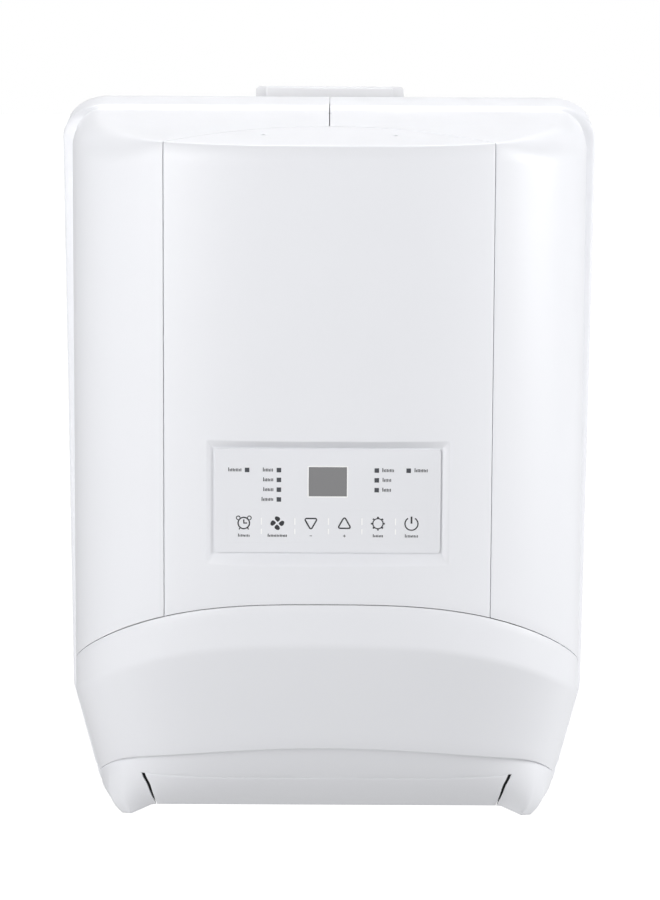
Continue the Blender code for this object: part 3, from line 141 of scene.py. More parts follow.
WALL_TOP_Z = 0.180  # of the front panel's upright rows
RECESS_FLOOR_Y = -0.2245
RECESS_HALF_WIDTHS = (0.0785, 0.0738)
RECESS_TOP_ZS = (0.022, 0.0168)
RECESS_BOTTOM_ZS = (-0.060, -0.0523)
LED_COLUMN_X = 0.0315
LED_OUTER_X = 0.0520
LED_TOP_Z = 0.0023
LED_PITCH = 0.0064
KEYS_WIDTH = 0.1298
KEY_TILE_HEIGHT = 0.0214
KEY_CLEARANCE = 0.00002  # between the film and the keys
TOP_HOLE = (0.0428, -0.186)  # beside the middle, in the front panel's top
SEAM_HOLE = (0.0, -0.095)  # on the joint of the two side shells
HOLE_RADIUS = 0.0016
HOLE_DEPTH = 0.03
ARC_GAP = 0.0010  # from the arc forwards to the front panel's edge
ARC_SEAM = 1.4 * SEAM  # from the arc back to the side shells
FIRST_ANGLE = 0.02  # of the plan outline, next to the rim
KEYS = ("timer", "fan_speed", "down", "up", "mode", "power")
LAMPS = tuple(  # x, z, the side its ticks are on, and how wide they are
    (side * x, LED_TOP_Z - row * LED_PITCH, side, width)
    for side, x, widths in (
        (-1, LED_COLUMN_X, (0.0070, 0.0066, 0.0064, 0.0076)),
        (1, LED_COLUMN_X, (0.0074, 0.0058, 0.0056)),
        (-1, LED_OUTER_X, (0.0086,)),
        (1, LED_OUTER_X, (0.0088,)),
    )
    for row, width in enumerate(widths)
)


def mix(a, b, part):
    return a + (b - a) * part


def smooth(part):
    part = max(0.0, min(1.0, part))
    return part * part * (3 - 2 * part)


# ---------------- node materials
WAVE_SCALE = 0.314159  # of the wave node, for one wave in each metre


class Nodes:
    """Short calls for one material's node tree."""

    def __init__(self, name):
        self.material = bpy.data.materials.new(name)
        self.material.use_nodes = True
        self.tree = self.material.node_tree
        self.shader = self.tree.nodes["Principled BSDF"]
        self.place = self.add("ShaderNodeTexCoord").outputs["Object"]

    def add(self, kind, **values):
        node = self.tree.nodes.new(kind)
        for key, value in values.items():
            setattr(node, key, value)
        return node

    def link(self, source, target):
        self.tree.links.new(source, target)

    def stretched(self, scale):
        """The object's coordinates, scaled by a different number along each axis."""
        node = self.add("ShaderNodeMapping")
        node.inputs["Scale"].default_value = scale
        self.link(self.place, node.inputs["Vector"])
        return node.outputs["Vector"]

    def noise(self, scale, detail=2.0, place=None):
        node = self.add("ShaderNodeTexNoise")
        node.inputs["Scale"].default_value = scale
        node.inputs["Detail"].default_value = detail
        self.link(place or self.place, node.inputs["Vector"])
        return node.outputs["Fac"]

    def bands(self, direction, pitch):
        """Waves along an axis, one for each pitch."""
        node = self.add("ShaderNodeTexWave", bands_direction=direction)
        node.inputs["Scale"].default_value = WAVE_SCALE / pitch
        self.link(self.place, node.inputs["Vector"])
        return node.outputs["Fac"]

    def ranged(self, value, low, high, start=0.3, end=0.7):
        """A value between start and end, brought between low and high."""
        node = self.add("ShaderNodeMapRange")
        for key, number in (("From Min", start), ("From Max", end), ("To Min", low), ("To Max", high)):
            node.inputs[key].default_value = number
        self.link(value, node.inputs["Value"])
        return node.outputs["Result"]

    def maths(self, operation, a, b):
        node = self.add("ShaderNodeMath", operation=operation)
        for socket, value in zip(node.inputs, (a, b)):
            if isinstance(value, (int, float)):
                socket.default_value = value
            else:
                self.link(value, socket)
        return node.outputs["Value"]

    def blend(self, value, first, second):
        """One colour at 0, the other at 1."""
        node = self.add("ShaderNodeMix", data_type="RGBA")
        node.inputs["A"].default_value = (*first, 1)
        node.inputs["B"].default_value = (*second, 1)
        self.link(value, node.inputs["Factor"])
        for output in node.outputs:
            if output.type == "RGBA":
                return output

    def fixed(self, name, value):
        self.shader.inputs[name].default_value = value

    def colour(self, output):
        self.link(output, self.shader.inputs["Base Color"])

    def roughness(self, output):
        self.link(output, self.shader.inputs["Roughness"])

    def bump(self, height, depth, strength=1.0):
        """A bump, on top of any that is there already."""
        node = self.add("ShaderNodeBump")
        node.inputs["Distance"].default_value = depth
        node.inputs["Strength"].default_value = strength
        self.link(height, node.inputs["Height"])
        if self.shader.inputs["Normal"].is_linked:
            self.link(self.shader.inputs["Normal"].links[0].from_socket, node.inputs["Normal"])
        self.link(node.outputs["Normal"], self.shader.inputs["Normal"])


def shade(colour, factor):
    return tuple(min(1.0, channel * factor) for channel in colour)


def moulded(name, colour, rough, grain, depth, mottle, coat=0.0):
    """Injection-moulded plastic: a fine etched grain, faint mottling and uneven gloss."""
    n = Nodes(name)
    n.colour(n.blend(n.noise(14, 3), shade(colour, 1 - mottle), shade(colour, 1 + mottle)))
    n.roughness(n.ranged(n.noise(60, 4), rough - 0.05, rough + 0.05))
    n.bump(n.noise(grain, 3), depth)
    n.fixed("Coat Weight", coat)
    return n.material


def sheet_metal(name, colour, rough, stretch=(30, 30, 900), spangle=0.06):
    """Rolled or plated metal: fine lines along one way and a soft spangle."""
    n = Nodes(name)
    lines = n.noise(3, 4, n.stretched(stretch))
    flakes = n.add("ShaderNodeTexVoronoi")
    flakes.inputs["Scale"].default_value = 130
    n.link(n.place, flakes.inputs["Vector"])
    n.colour(n.blend(flakes.outputs["Distance"], shade(colour, 1 + spangle), shade(colour, 1 - spangle)))
    n.roughness(n.ranged(lines, rough - 0.08, rough + 0.08))
    n.bump(lines, 0.00002)
    n.fixed("Metallic", 1.0)
    return n.material


def copper_pipe(name):
    """Drawn copper with tarnish."""
    n = Nodes(name)
    n.colour(n.blend(n.ranged(n.noise(55, 5), 0, 1), (0.78, 0.36, 0.20), (0.42, 0.20, 0.12)))
    n.roughness(n.ranged(n.noise(90, 3), 0.22, 0.45))
    n.bump(n.noise(900, 2), 0.00001)
    n.fixed("Metallic", 1.0)
    return n.material


def finned(name):
    """A pack of thin aluminium fins, one each 1.8 mm along X, with painted shade in the gaps between
    them.
    """
    n = Nodes(name)
    fins = n.bands("X", 0.0018)
    # the dark bands are painted shade in the gaps between the fins
    n.colour(n.blend(fins, (0.20, 0.205, 0.21), (0.80, 0.81, 0.83)))
    n.roughness(n.ranged(n.noise(120, 3), 0.25, 0.42))
    n.bump(fins, 0.0004)
    n.bump(n.noise(70, 3), 0.0003, 0.5)
    n.fixed("Metallic", 0.9)
    return n.material


def woven(name, colour, pitch):
    """A fine net: threads along X and Z, and painted shade in the holes between them."""
    n = Nodes(name)
    net = n.maths("MAXIMUM", n.bands("X", pitch), n.bands("Z", pitch))
    threads = n.ranged(net, 0, 1, 0.55, 0.85)
    # the holes are painted shade, near black
    n.colour(n.blend(threads, shade(colour, 0.12), colour))
    n.roughness(n.ranged(n.noise(200, 2), 0.55, 0.75))
    n.bump(threads, 0.0004)
    return n.material


def rubbery(name, colour):
    n = Nodes(name)
    n.colour(n.blend(n.noise(40, 4), shade(colour, 0.8), shade(colour, 1.5)))
    n.roughness(n.ranged(n.noise(150, 3), 0.75, 0.92))
    n.bump(n.noise(2200, 2), 0.00005)
    return n.material


def solder_mask(name):
    """A circuit board: green mask with faint tracks under it."""
    n = Nodes(name)
    cells = n.add("ShaderNodeTexVoronoi", distance="MANHATTAN", feature="F2")
    cells.inputs["Scale"].default_value = 220
    n.link(n.place, cells.inputs["Vector"])
    tracks = n.ranged(cells.outputs["Distance"], 0, 1, 0.55, 0.6)
    n.colour(n.blend(tracks, (0.012, 0.10, 0.045), (0.03, 0.22, 0.09)))
    n.roughness(n.ranged(n.noise(90, 2), 0.2, 0.35))
    n.bump(tracks, 0.00005)
    return n.material


def enamel(name, colour, rough):
    """Paint over metal, with orange peel."""
    n = Nodes(name)
    n.colour(n.blend(n.noise(30, 3), shade(colour, 0.97), shade(colour, 1.03)))
    n.roughness(n.ranged(n.noise(80, 3), rough - 0.06, rough + 0.08))
    n.bump(n.noise(450, 2), 0.00006)
    n.fixed("Coat Weight", 0.2)
    return n.material


WHITE = (0.792, 0.800, 0.832)
MOULDINGS = {  # colour, roughness, grain scale and depth, mottle, coat
    "white_shell": (WHITE, 0.42, 1600, 0.00003, 0.010),
    "control_face": ((0.780, 0.788, 0.820), 0.38, 2600, 0.00001, 0.008, 0.1),
    "display_glass": ((0.225, 0.225, 0.23), 0.16, 3000, 0.000004, 0.03, 0.5),
    "lamp_lens": ((0.070, 0.074, 0.085), 0.2, 2500, 0.000005, 0.04, 0.3),
    "white_plastic": ((0.74, 0.74, 0.735), 0.5, 900, 0.00005, 0.02),
    "black_plastic": ((0.035, 0.035, 0.038), 0.5, 900, 0.00006, 0.12),
}
FINISHES = {slot: moulded(f"{slot}_look", *look) for slot, look in MOULDINGS.items()}
FINISHES.update(
    filter_grey=woven("filter_grey_look", (0.24, 0.25, 0.26), 0.0016),
    zinc_steel=sheet_metal("zinc_steel_look", (0.62, 0.63, 0.65), 0.38),
    bright_steel=sheet_metal("bright_steel_look", (0.72, 0.72, 0.73), 0.26, (500, 500, 20), 0.02),
    coil_fins=finned("coil_fins_look"),
    copper_pipe=copper_pipe("copper_pipe_look"),
    black_enamel=enamel("black_enamel_look", (0.025, 0.025, 0.028), 0.35),
    rubber=rubbery("rubber_look", (0.035, 0.035, 0.035)),
    circuit_board=solder_mask("circuit_board_look"),
    white_paint=enamel("white_paint_look", (0.86, 0.865, 0.89), 0.45),
)
FRAME_GREY = moulded("filter_frame_look", (0.19, 0.195, 0.20), 0.5, 1100, 0.00005, 0.04)
INK = moulded("ink_look", (0.030, 0.031, 0.036), 0.5, 3000, 0.000003, 0.05)
PALE_INK = moulded("pale_ink_look", (0.95, 0.95, 0.95), 0.5, 3000, 0.000003, 0.01)

for part in frame["record"]["subparts"]:
    node = frame["nodes"][part["node"]]
    node.data.materials.clear()
    is_frame = part["node"] == "filter_frame"  # the same slot as the net, but a plain moulding
    node.data.materials.append(FRAME_GREY if is_frame else FINISHES[part["material_slot"]])


# ---------------- building helpers
GRID_MERGE = 0.00001
ROD_SEGMENTS = 24


def placed(name, data):
    """A new object in the scene that shows this mesh, light or camera."""
    obj = bpy.data.objects.new(name, data)
    bpy.context.scene.collection.objects.link(obj)
    return obj


def mesh_object(name, shape):
    data = bpy.data.meshes.new(name)
    shape.to_mesh(data)
    shape.free()
    return placed(name, data)


def dress(obj, look, body="housing", angle=40):
    """Gives a new piece its material and slot, rounds its shading and lets it ride on its body."""
    obj.data.materials.clear()
    obj.data.materials.append(look)
    obj.data.shade_smooth()
    obj.data.set_sharp_from_angle(angle=math.radians(angle))
    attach(obj, body)


def shell(name, grid, flip=False, thickness=WALL):
    """A fine grid of points, made a closed wall that grows inwards."""
    shape = bmesh.new()
    rows = [[shape.verts.new(place) for place in row] for row in grid]
    for lower, upper in zip(rows, rows[1:]):
        for i in range(len(lower) - 1):
            corners = [lower[i], lower[i + 1], upper[i + 1], upper[i]]
            shape.faces.new(corners[::-1] if flip else corners)
    bmesh.ops.remove_doubles(shape, verts=shape.verts, dist=GRID_MERGE)
    obj = mesh_object(name, shape)
    wall = obj.modifiers.new("wall", "SOLIDIFY")
    wall.thickness = thickness
    wall.offset = -1
    return obj


def rounded(obj, width=EDGE, segments=3, angle=50):
    """Rounds the edges that bend by more than the angle."""
    edge = obj.modifiers.new("edges", "BEVEL")
    edge.width = width
    edge.segments = segments
    edge.limit_method = "ANGLE"
    edge.angle_limit = math.radians(angle)
    return obj


def cut(obj, tool):
    """Takes the tool's shape out of the object. The tool itself doesn't show."""
    step = obj.modifiers.new("cut", "BOOLEAN")
    step.operation = "DIFFERENCE"
    step.object = tool
    tool.hide_render = True
    tool.display_type = "WIRE"


def solid_box(shape, low, high, matrix=None):
    """A box between two corners, then moved by a matrix."""
    made = bmesh.ops.create_cube(shape, size=1.0)["verts"]
    bmesh.ops.scale(shape, vec=[b - a for a, b in zip(low, high)], verts=made)
    bmesh.ops.translate(shape, vec=[(a + b) / 2 for a, b in zip(low, high)], verts=made)
    if matrix:
        bmesh.ops.transform(shape, matrix=matrix, verts=made)


def rod(shape, place, turn_about, radius, length):
    """A cylinder about a place: upright, or laid down by a quarter turn about an axis."""
    made = bmesh.ops.create_cone(
        shape, cap_ends=True, segments=ROD_SEGMENTS, radius1=radius, radius2=radius, depth=length
    )["verts"]
    matrix = Matrix.Translation(place)
    if turn_about:
        matrix = matrix @ Matrix.Rotation(math.pi / 2, 4, turn_about)
    bmesh.ops.transform(shape, matrix=matrix, verts=made)


def bridged(shape, front, back):
    """A closed solid between two lists of corners."""
    front = [shape.verts.new(corner) for corner in front]
    back = [shape.verts.new(corner) for corner in back]
    shape.faces.new(front)
    shape.faces.new(back[::-1])
    for i in range(len(front)):
        j = (i + 1) % len(front)
        shape.faces.new([front[j], front[i], back[i], back[j]])


def prism(shape, outline, y_front, y_back, place=(0, 0)):
    """A flat outline of (x, z) points about a place, drawn out along Y."""
    corners = [(place[0] + x, place[1] + z) for x, z in outline]
    bridged(shape, [(x, y_front, z) for x, z in corners], [(x, y_back, z) for x, z in corners])


# ---------------- the housing's outer surface
def top_z(y):
    """Height of the top, which falls towards the front."""
    return TOP_AT_RIM + TOP_SLOPE * (y - RIM_Y)


def plan_parts(angle):
    """How far a point of the plan outline is to the side and to the front, each out of 1."""
    across = math.copysign(abs(math.cos(angle)) ** (2 / PLAN_POWER), math.cos(angle))
    return across, abs(math.sin(angle)) ** (2 / PLAN_POWER)


def plan(angle, inset=0.0):
    """Point of the plan outline, moved inwards square to it."""
    across, ahead = plan_parts(angle)
    steep = math.hypot(
        abs(across) ** (PLAN_POWER - 1) / BODY_HALF_WIDTH, ahead ** (PLAN_POWER - 1) / BODY_DEPTH
    )
    keep = 1 - inset * steep
    return keep * BODY_HALF_WIDTH * across, RIM_Y - keep * BODY_DEPTH * ahead


def solve(function, low, high, rounds=40):
    """Where a falling function crosses zero."""
    for _ in range(rounds):
        middle = (low + high) / 2
        if function(middle) > 0:
            low = middle
        else:
            high = middle
    return (low + high) / 2


def angle_at(x, inset=0.0):
    """Angle at which the plan outline has this x."""
    return solve(lambda angle: plan(angle, inset)[0] - x, 0.0, math.pi / 2)


def even_angles(first, last, count, inset=0.0):
    """Angles that part the outline into count equal lengths."""
    steps = 600
    fine = [mix(first, last, i / steps) for i in range(steps + 1)]
    places = [Vector(plan(angle, inset)) for angle in fine]
    lengths = [0.0]
    for one, two in zip(places, places[1:]):
        lengths.append(lengths[-1] + (two - one).length)
    angles = []
    index = 0
    for i in range(count + 1):
        wanted = lengths[-1] * i / count
        while index < steps - 1 and lengths[index + 1] < wanted:
            index += 1
        part = (wanted - lengths[index]) / (lengths[index + 1] - lengths[index])
        angles.append(mix(fine[index], fine[index + 1], min(1.0, part)))
    return angles


def arch(z, y, reach):
    """Height of a line that is at z in front, and sinks along the sides."""
    back = max(0.0, min(y, RIM_Y) - FRONT_Y)
    return z - ARCH_RATE * back / (1 + back / reach)


def seam_z(y):
    return arch(SEAM_Z, y, SEAM_REACH)


def crease_z(y):
    return arch(CREASE_Z, y, CREASE_REACH)


def roll(share, part):
    """(inset, drop) over the top edge, from the wall at part 0 to the top at 1.

    A share of 0 gives the crisp front edge, and 1 the round between the top and the sides."""
    turn = math.pi / 2 * part
    lean_part = 0.7
    if part < lean_part:
        lean = EDGE_LEAN * (part / lean_part) ** 2
        drop = mix(EDGE_LEAN_HEIGHT, EDGE_ROUND * (1 - math.sin(EDGE_LEAN_ANGLE)), part / lean_part)
    else:
        tilt = mix(EDGE_LEAN_ANGLE, math.pi / 2, (part - lean_part) / (1 - lean_part))
        lean = EDGE_LEAN + EDGE_ROUND * (math.cos(EDGE_LEAN_ANGLE) - math.cos(tilt))
        drop = EDGE_ROUND * (1 - math.sin(tilt))
    round_inset, round_drop = TOP_RADIUS * (1 - math.cos(turn)), TOP_RADIUS * (1 - math.sin(turn))
    return mix(lean, round_inset, share), mix(drop, round_drop, share)


def round_share(angle):
    """How much of the round there is at this angle of the plan."""
    across = abs(plan_parts(angle)[0]) * BODY_HALF_WIDTH
    return smooth((across - ROUND_FROM_X) / (ROUND_TO_X - ROUND_FROM_X))


EDGE_INSET = roll(0, 1)[0]
CORNER_Y = plan(angle_at(PANEL_HALF_WIDTH, EDGE_INSET), EDGE_INSET)[1]


def arc_y(x):
    """Rear edge of the front panel, seen from above."""
    return mix(ARC_PEAK_Y, CORNER_Y, (x / PANEL_HALF_WIDTH) ** 2)


def rim_step(z):
    """How far the rear rim stands out of the side at this height."""
    return RIM_STEP_HIGH - RIM_STEP_TAPER * (RIM_STEP_Z - z)


RIM_PROFILE = (  # y, and the part of the step there
    (REAR_Y, 1.0), (-0.0450, 1.0), (-0.0560, 1.0), (-0.0660, 1.0), (-0.0725, 1.0),
    (-0.0738, 0.985), (-0.0746, 0.94), (-0.0752, 0.86), (-0.0760, 0.66),
    (-0.0768, 0.42), (-0.0774, 0.22), (-0.0778, 0.10), (RIM_Y, 0.04),
)


def rim_columns(height, out_x, out_z):
    """One row's points over the rim, whose rounded step comes down to the body."""
    columns = []
    for y, part in RIM_PROFILE:
        x, z = height(y)
        columns.append((x + part * out_x(z), y, z + part * out_z))
    return columns


def side_grid(columns=54, wall_rows=36, corner_rows=16, top_rows=30):
    """Rows of the right side shell: the wall, the round, and half of the top."""
    rows = []
    edge = PANEL_HALF_WIDTH + SEAM
    wall_angles = even_angles(FIRST_ANGLE, angle_at(edge), columns)
    for k in range(wall_rows + 1):
        part = k / wall_rows

        def wall_height(y, part=part, drop=TOP_RADIUS):
            return BODY_HALF_WIDTH, mix(seam_z(y) + SEAM, top_z(y) - drop, part)

        row = rim_columns(wall_height, rim_step, 0)
        for angle in wall_angles:
            x, y = plan(angle)
            row.append((x, y, wall_height(y, drop=roll(round_share(angle), 0)[1])[1]))
        rows.append(row)
    for k in range(1, corner_rows + 1):
        part = k / corner_rows
        turn = math.pi / 2 * part
        inset, drop = roll(1, part)

        def round_height(y, inset=inset, drop=drop):
            return BODY_HALF_WIDTH - inset, top_z(y) - drop

        def round_out(z, turn=turn):
            return rim_step(z) * math.cos(turn)

        row = rim_columns(round_height, round_out, RIM_STEP_TOP * math.sin(turn))
        for angle in even_angles(FIRST_ANGLE, angle_at(edge, roll(0, part)[0]), columns):
            inset, drop = roll(round_share(angle), part)
            x, y = plan(angle, inset)
            row.append((x, y, top_z(y) - drop))
        rows.append(row)
    outer = [Vector((x, y)) for x, y, _ in rows[-1][len(RIM_PROFILE) :]]
    inner_end = ARC_PEAK_Y + ARC_SEAM
    inner_start = mix(RIM_Y, inner_end, 0.02)
    inner = [Vector((SEAM, mix(inner_start, inner_end, i / columns))) for i in range(columns + 1)]
    for k in range(1, top_rows + 1):
        part = k / top_rows
        foot_x = mix(BODY_HALF_WIDTH - TOP_RADIUS, SEAM, part)

        def flat_height(y, foot_x=foot_x):
            return foot_x, top_z(y)

        row = rim_columns(flat_height, lambda z: 0.0, RIM_STEP_TOP)
        end_x = mix(outer[-1].x, SEAM, part)
        shift = Vector((end_x, arc_y(end_x) + ARC_SEAM)) - outer[-1].lerp(inner[-1], part)
        for i in range(columns + 1):
            place = outer[i].lerp(inner[i], part) + shift * (i / columns)
            row.append((place.x, place.y, top_z(place.y)))
        rows.append(row)
    return rows


def drills(name, places):
    """Upright round cutters through the top, one at each (x, y) place."""
    shape = bmesh.new()
    for x, y in places:
        rod(shape, (x, y, top_z(y)), None, HOLE_RADIUS, HOLE_DEPTH)
    return mesh_object(name, shape)


def side_shells():
    rows = side_grid()
    mirrored = [[(-x, y, z) for x, y, z in row] for row in rows]
    for name, grid, flip in (("right", rows, True), ("left", mirrored, False)):
        obj = shell(f"{name}_side_cover", grid, flip)
        rounded(obj)
        cut(obj, drills(f"{name}_seam_hole", (SEAM_HOLE,)))
        dress(obj, FINISHES["white_shell"])
        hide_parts(f"{name}_side_shell")


def recess_depth(x, z):
    """How far into the control recess this place is, from 0 on the panel to 1 on the floor."""
    wide, floor = RECESS_HALF_WIDTHS
    parts = (
        (wide - abs(x)) / (wide - floor),
        (RECESS_TOP_ZS[0] - z) / (RECESS_TOP_ZS[0] - RECESS_TOP_ZS[1]),
        (z - RECESS_BOTTOM_ZS[0]) / (RECESS_BOTTOM_ZS[1] - RECESS_BOTTOM_ZS[0]),
    )
    depth = max(0.0, min(1.0, min(parts)))
    eased = 0.12
    if depth < eased:
        return depth * depth / (2 * eased) / (1 - eased)
    if depth > 1 - eased:
        return 1 - (1 - depth) ** 2 / (2 * eased) / (1 - eased)
    return (depth - eased / 2) / (1 - eased)


def lines_between(places, most):
    """Extra places between the given ones, so that no step is longer than most."""
    made = []
    for one, two in zip(places, places[1:]):
        count = max(1, math.ceil(abs(two - one) / most))
        made += [mix(one, two, i / count) for i in range(count)]
    return made + [places[-1]]


def bevel_lines(outer, inner):
    """Places across one slope of the recess, close together where it bends."""
    parts = (-0.15, 0.0, 0.06, 0.12, 0.3, 0.5, 0.7, 0.88, 0.94, 1.0, 1.15)
    return [mix(outer, inner, part) for part in parts]


def front_grid(roll_rows=16, top_rows=24):
    """Rows of the front panel, from its lower seam over the top edge to its rear arc."""
    edge = PANEL_HALF_WIDTH - SEAM
    slope = sorted(bevel_lines(*RECESS_HALF_WIDTHS))
    half = lines_between([0.0] + slope + [edge], 0.0035)
    xs = [-x for x in half[:0:-1]] + half
    low = bevel_lines(*RECESS_BOTTOM_ZS)
    high = bevel_lines(*RECESS_TOP_ZS)[::-1]
    levels = lines_between(low + high + [WALL_TOP_Z], 0.006)
    wall_ys = [plan(angle_at(abs(x)))[1] for x in xs]
    rows = []
    bottom_rows = 5
    for k in range(bottom_rows):
        part = k / bottom_rows
        rows.append([(x, y, mix(seam_z(y) + SEAM, levels[0], part)) for x, y in zip(xs, wall_ys)])
    for level in levels:
        row = []
        for x, y in zip(xs, wall_ys):
            row.append((x, mix(y, RECESS_FLOOR_Y, recess_depth(x, level)), level))
        rows.append(row)
    for k in range(roll_rows + 1):
        inset, drop = roll(0, k / roll_rows)
        row = []
        for x in xs:
            y = plan(angle_at(abs(x), inset), inset)[1]
            row.append((x, y, top_z(y) - drop))
        rows.append(row)
    edge_ys = [y for _, y, _ in rows[-1]]
    for k in range(1, top_rows + 1):
        row = []
        for x, start in zip(xs, edge_ys):
            y = mix(start, max(start, arc_y(x) - ARC_GAP), k / top_rows)
            row.append((x, y, top_z(y)))
        rows.append(row)
    return rows


def front_cover():
    obj = shell("front_cover", front_grid())
    rounded(obj)
    x, y = TOP_HOLE
    cut(obj, drills("top_holes", ((-x, y), (x, y))))
    dress(obj, FINISHES["white_shell"])
    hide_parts("front_panel")


# ---------------- hood and flap
def chin_z(x):
    """Height of the chin's edge, seen from the front."""
    x = abs(x)
    arched = CHIN_Z - CHIN_DROP * (x / CHIN_DROP_X) ** 2
    return arched - CHIN_END_DROP * (x / CHIN_END_X) ** CHIN_END_POWER


def hood_point(angle, inset, z):
    """Point of the plan outline moved inwards, at a height."""
    across, ahead = plan_parts(angle)
    return Vector(((BODY_HALF_WIDTH - inset) * across, RIM_Y - (BODY_DEPTH - inset) * ahead, z))


def chin_edge(angle):
    """(inset, z) of the chin's lower edge at one angle of the plan."""
    across, ahead = plan_parts(angle)
    crease = crease_z(plan(angle)[1])
    taper = mix(SIDE_TAPER, FRONT_TAPER, ahead)
    edge = CHIN_Z
    for _ in range(12):
        edge = chin_z((BODY_HALF_WIDTH - taper * (crease - edge)) * across)
    return taper * (crease - edge), edge


def lip_width(angle):
    to_side = (abs(plan_parts(angle)[0]) - LIP_FROM) / (1 - LIP_FROM)
    return mix(LIP, LIP_END, smooth(to_side))


def lip_point(angle):
    inset, edge = chin_edge(angle)
    return hood_point(angle, inset + lip_width(angle), edge - LIP_DROP)


def hood_foot(lip_x):
    """The hood's lower edge below a lip point at this x."""
    wanted = abs(lip_x)
    for first, second in zip(HOOD_FEET, HOOD_FEET[1:]):
        if wanted <= second[0]:
            break
    part = min(1.0, (wanted - first[0]) / (second[0] - first[0]))
    x, y, z = (mix(a, b, part) for a, b in zip(first[1:], second[1:]))
    return Vector((math.copysign(x, lip_x), y, z))


def face_point(angle, part):
    """Point of the surface between the lip and the hood's lower edge."""
    lip = lip_point(angle)
    place = lip.lerp(hood_foot(lip.x), part)
    side = smooth((abs(lip.x) - CHEEK_FROM_X) / (CHEEK_TO_X - CHEEK_FROM_X))
    across, ahead = plan_parts(angle)
    square = (math.copysign(across**2, across) / BODY_HALF_WIDTH, -(ahead**2) / BODY_DEPTH, 0)
    out = Vector((0, -1, 0)).lerp(Vector(square).normalized(), side) + Vector((0, 0, -1))
    return place + out * 0.7 * mix(FACE_BULGE, CHEEK_BULGE, side) * math.sin(math.pi * part)


def hood_column(angle, steps=14):
    """Points down the hood from the seam, with the crease and the chin's edge rounded."""
    y = plan(angle)[1]
    crease = crease_z(y)
    taper = mix(SIDE_TAPER, FRONT_TAPER, plan_parts(angle)[1])
    inset, edge = chin_edge(angle)
    soft = 0.0028
    column = [hood_point(angle, 0.0, mix(seam_z(y) - SEAM, crease + soft, i / 4)) for i in range(4)]
    for i in range(9):
        below = mix(-soft, soft, i / 8)
        column.append(hood_point(angle, taper * (below + soft) ** 2 / (4 * soft), crease - below))
    for i in range(1, 10):
        z = mix(crease - soft, edge + CHIN_ROUND, i / 9)
        column.append(hood_point(angle, taper * (crease - z), z))
    wide = lip_width(angle)
    for turn in (25, 50, 75, 90):
        bend = math.radians(turn)
        run = CHIN_ROUND_RUN * (1 - math.cos(bend)) * wide / LIP
        fall = (CHIN_ROUND + LIP_DROP) * math.sin(bend)
        column.append(hood_point(angle, inset + run, edge + CHIN_ROUND - fall))
    for part in (0.6, 1.0):
        column.append(hood_point(angle, inset + wide * part, edge - LIP_DROP))
    return column + [face_point(angle, i / steps) for i in range(1, steps + 1)]


def hood(count=150):
    """The hood between its two rims, with the opening for the flap cut out."""
    angles = even_angles(FIRST_ANGLE, math.pi / 2, count // 2)
    angles += [math.pi - angle for angle in angles[-2::-1]]
    columns = [hood_column(angle) for angle in angles]
    rows = []
    for row in zip(*columns):
        x, _, z = row[0]
        right = [(x + part * rim_step(z), y, z) for y, part in RIM_PROFILE]
        left = [(-across, y, height) for across, y, height in right[::-1]]
        rows.append(right + list(row) + left)
    obj = shell("outlet_cover", rows)
    outline = [(-x, z) for x, z in OPENING_SIDE] + [(x, z) for x, z in OPENING_SIDE[::-1]]
    tool = bmesh.new()
    prism(tool, outline, *OPENING_CUT_YS)
    bmesh.ops.recalc_face_normals(tool, faces=tool.faces)
    cut(obj, mesh_object("outlet_cut", tool))
    rounded(obj, 0.00025, 2)
    dress(obj, FINISHES["white_shell"])
    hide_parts("outlet_hood")


def lip_angle(lip_x):
    """Angle at which the lip has this x."""
    return solve(lambda angle: lip_point(angle).x - lip_x, 0.0, math.pi / 2)


def opening_x(z):
    """Half width of the flap's opening at one height."""
    for (x, high), (next_x, low) in zip(OPENING_SIDE, OPENING_SIDE[1:]):
        if z >= low:
            break
    return mix(x, next_x, (high - z) / (high - low))


def slot_width(z):
    """Width of the slot beside the flap at one height."""
    part = (FLAP_TOP_Z - z) / (FLAP_TOP_Z - HOOD_FEET[0][3])
    return mix(*SLOT_WIDTHS, max(0.0, min(1.0, part)) ** 2)


def face_at(x, part):
    """Point of the face at a half width and a part of the way down it."""
    lip_x = x
    for _ in range(3):
        lip_x *= x / max(0.00001, face_point(lip_angle(lip_x), part).x)
    return face_point(lip_angle(lip_x), part)


def slot_shade_strips():
    """Black rubber strips behind the slots beside the flap: painted shade that keeps the slots dark."""
    for side, name in ((-1, "left"), (1, "right")):
        grid = []
        for i in range(13):
            part = mix(SHADE_STRIP_START, 1.0, i / 12)
            edge = face_at(opening_x(FLAP_TOP_Z), part)
            row = []
            for k in range(5):
                x = mix(opening_x(edge.z) - SHADE_STRIP_INNER, opening_x(edge.z) + SHADE_STRIP_OUTER, k / 4)
                place = face_at(x, part) + SHADE_STRIP_BACK
                row.append((side * place.x, place.y, place.z))
            grid.append(row)
        obj = shell(f"slot_shade_strip_{name}", grid, side > 0, SHADE_STRIP_WALL)
        # the black rubber is painted shade: it stands for the shade deep in the slots
        dress(obj, FINISHES["rubber"])


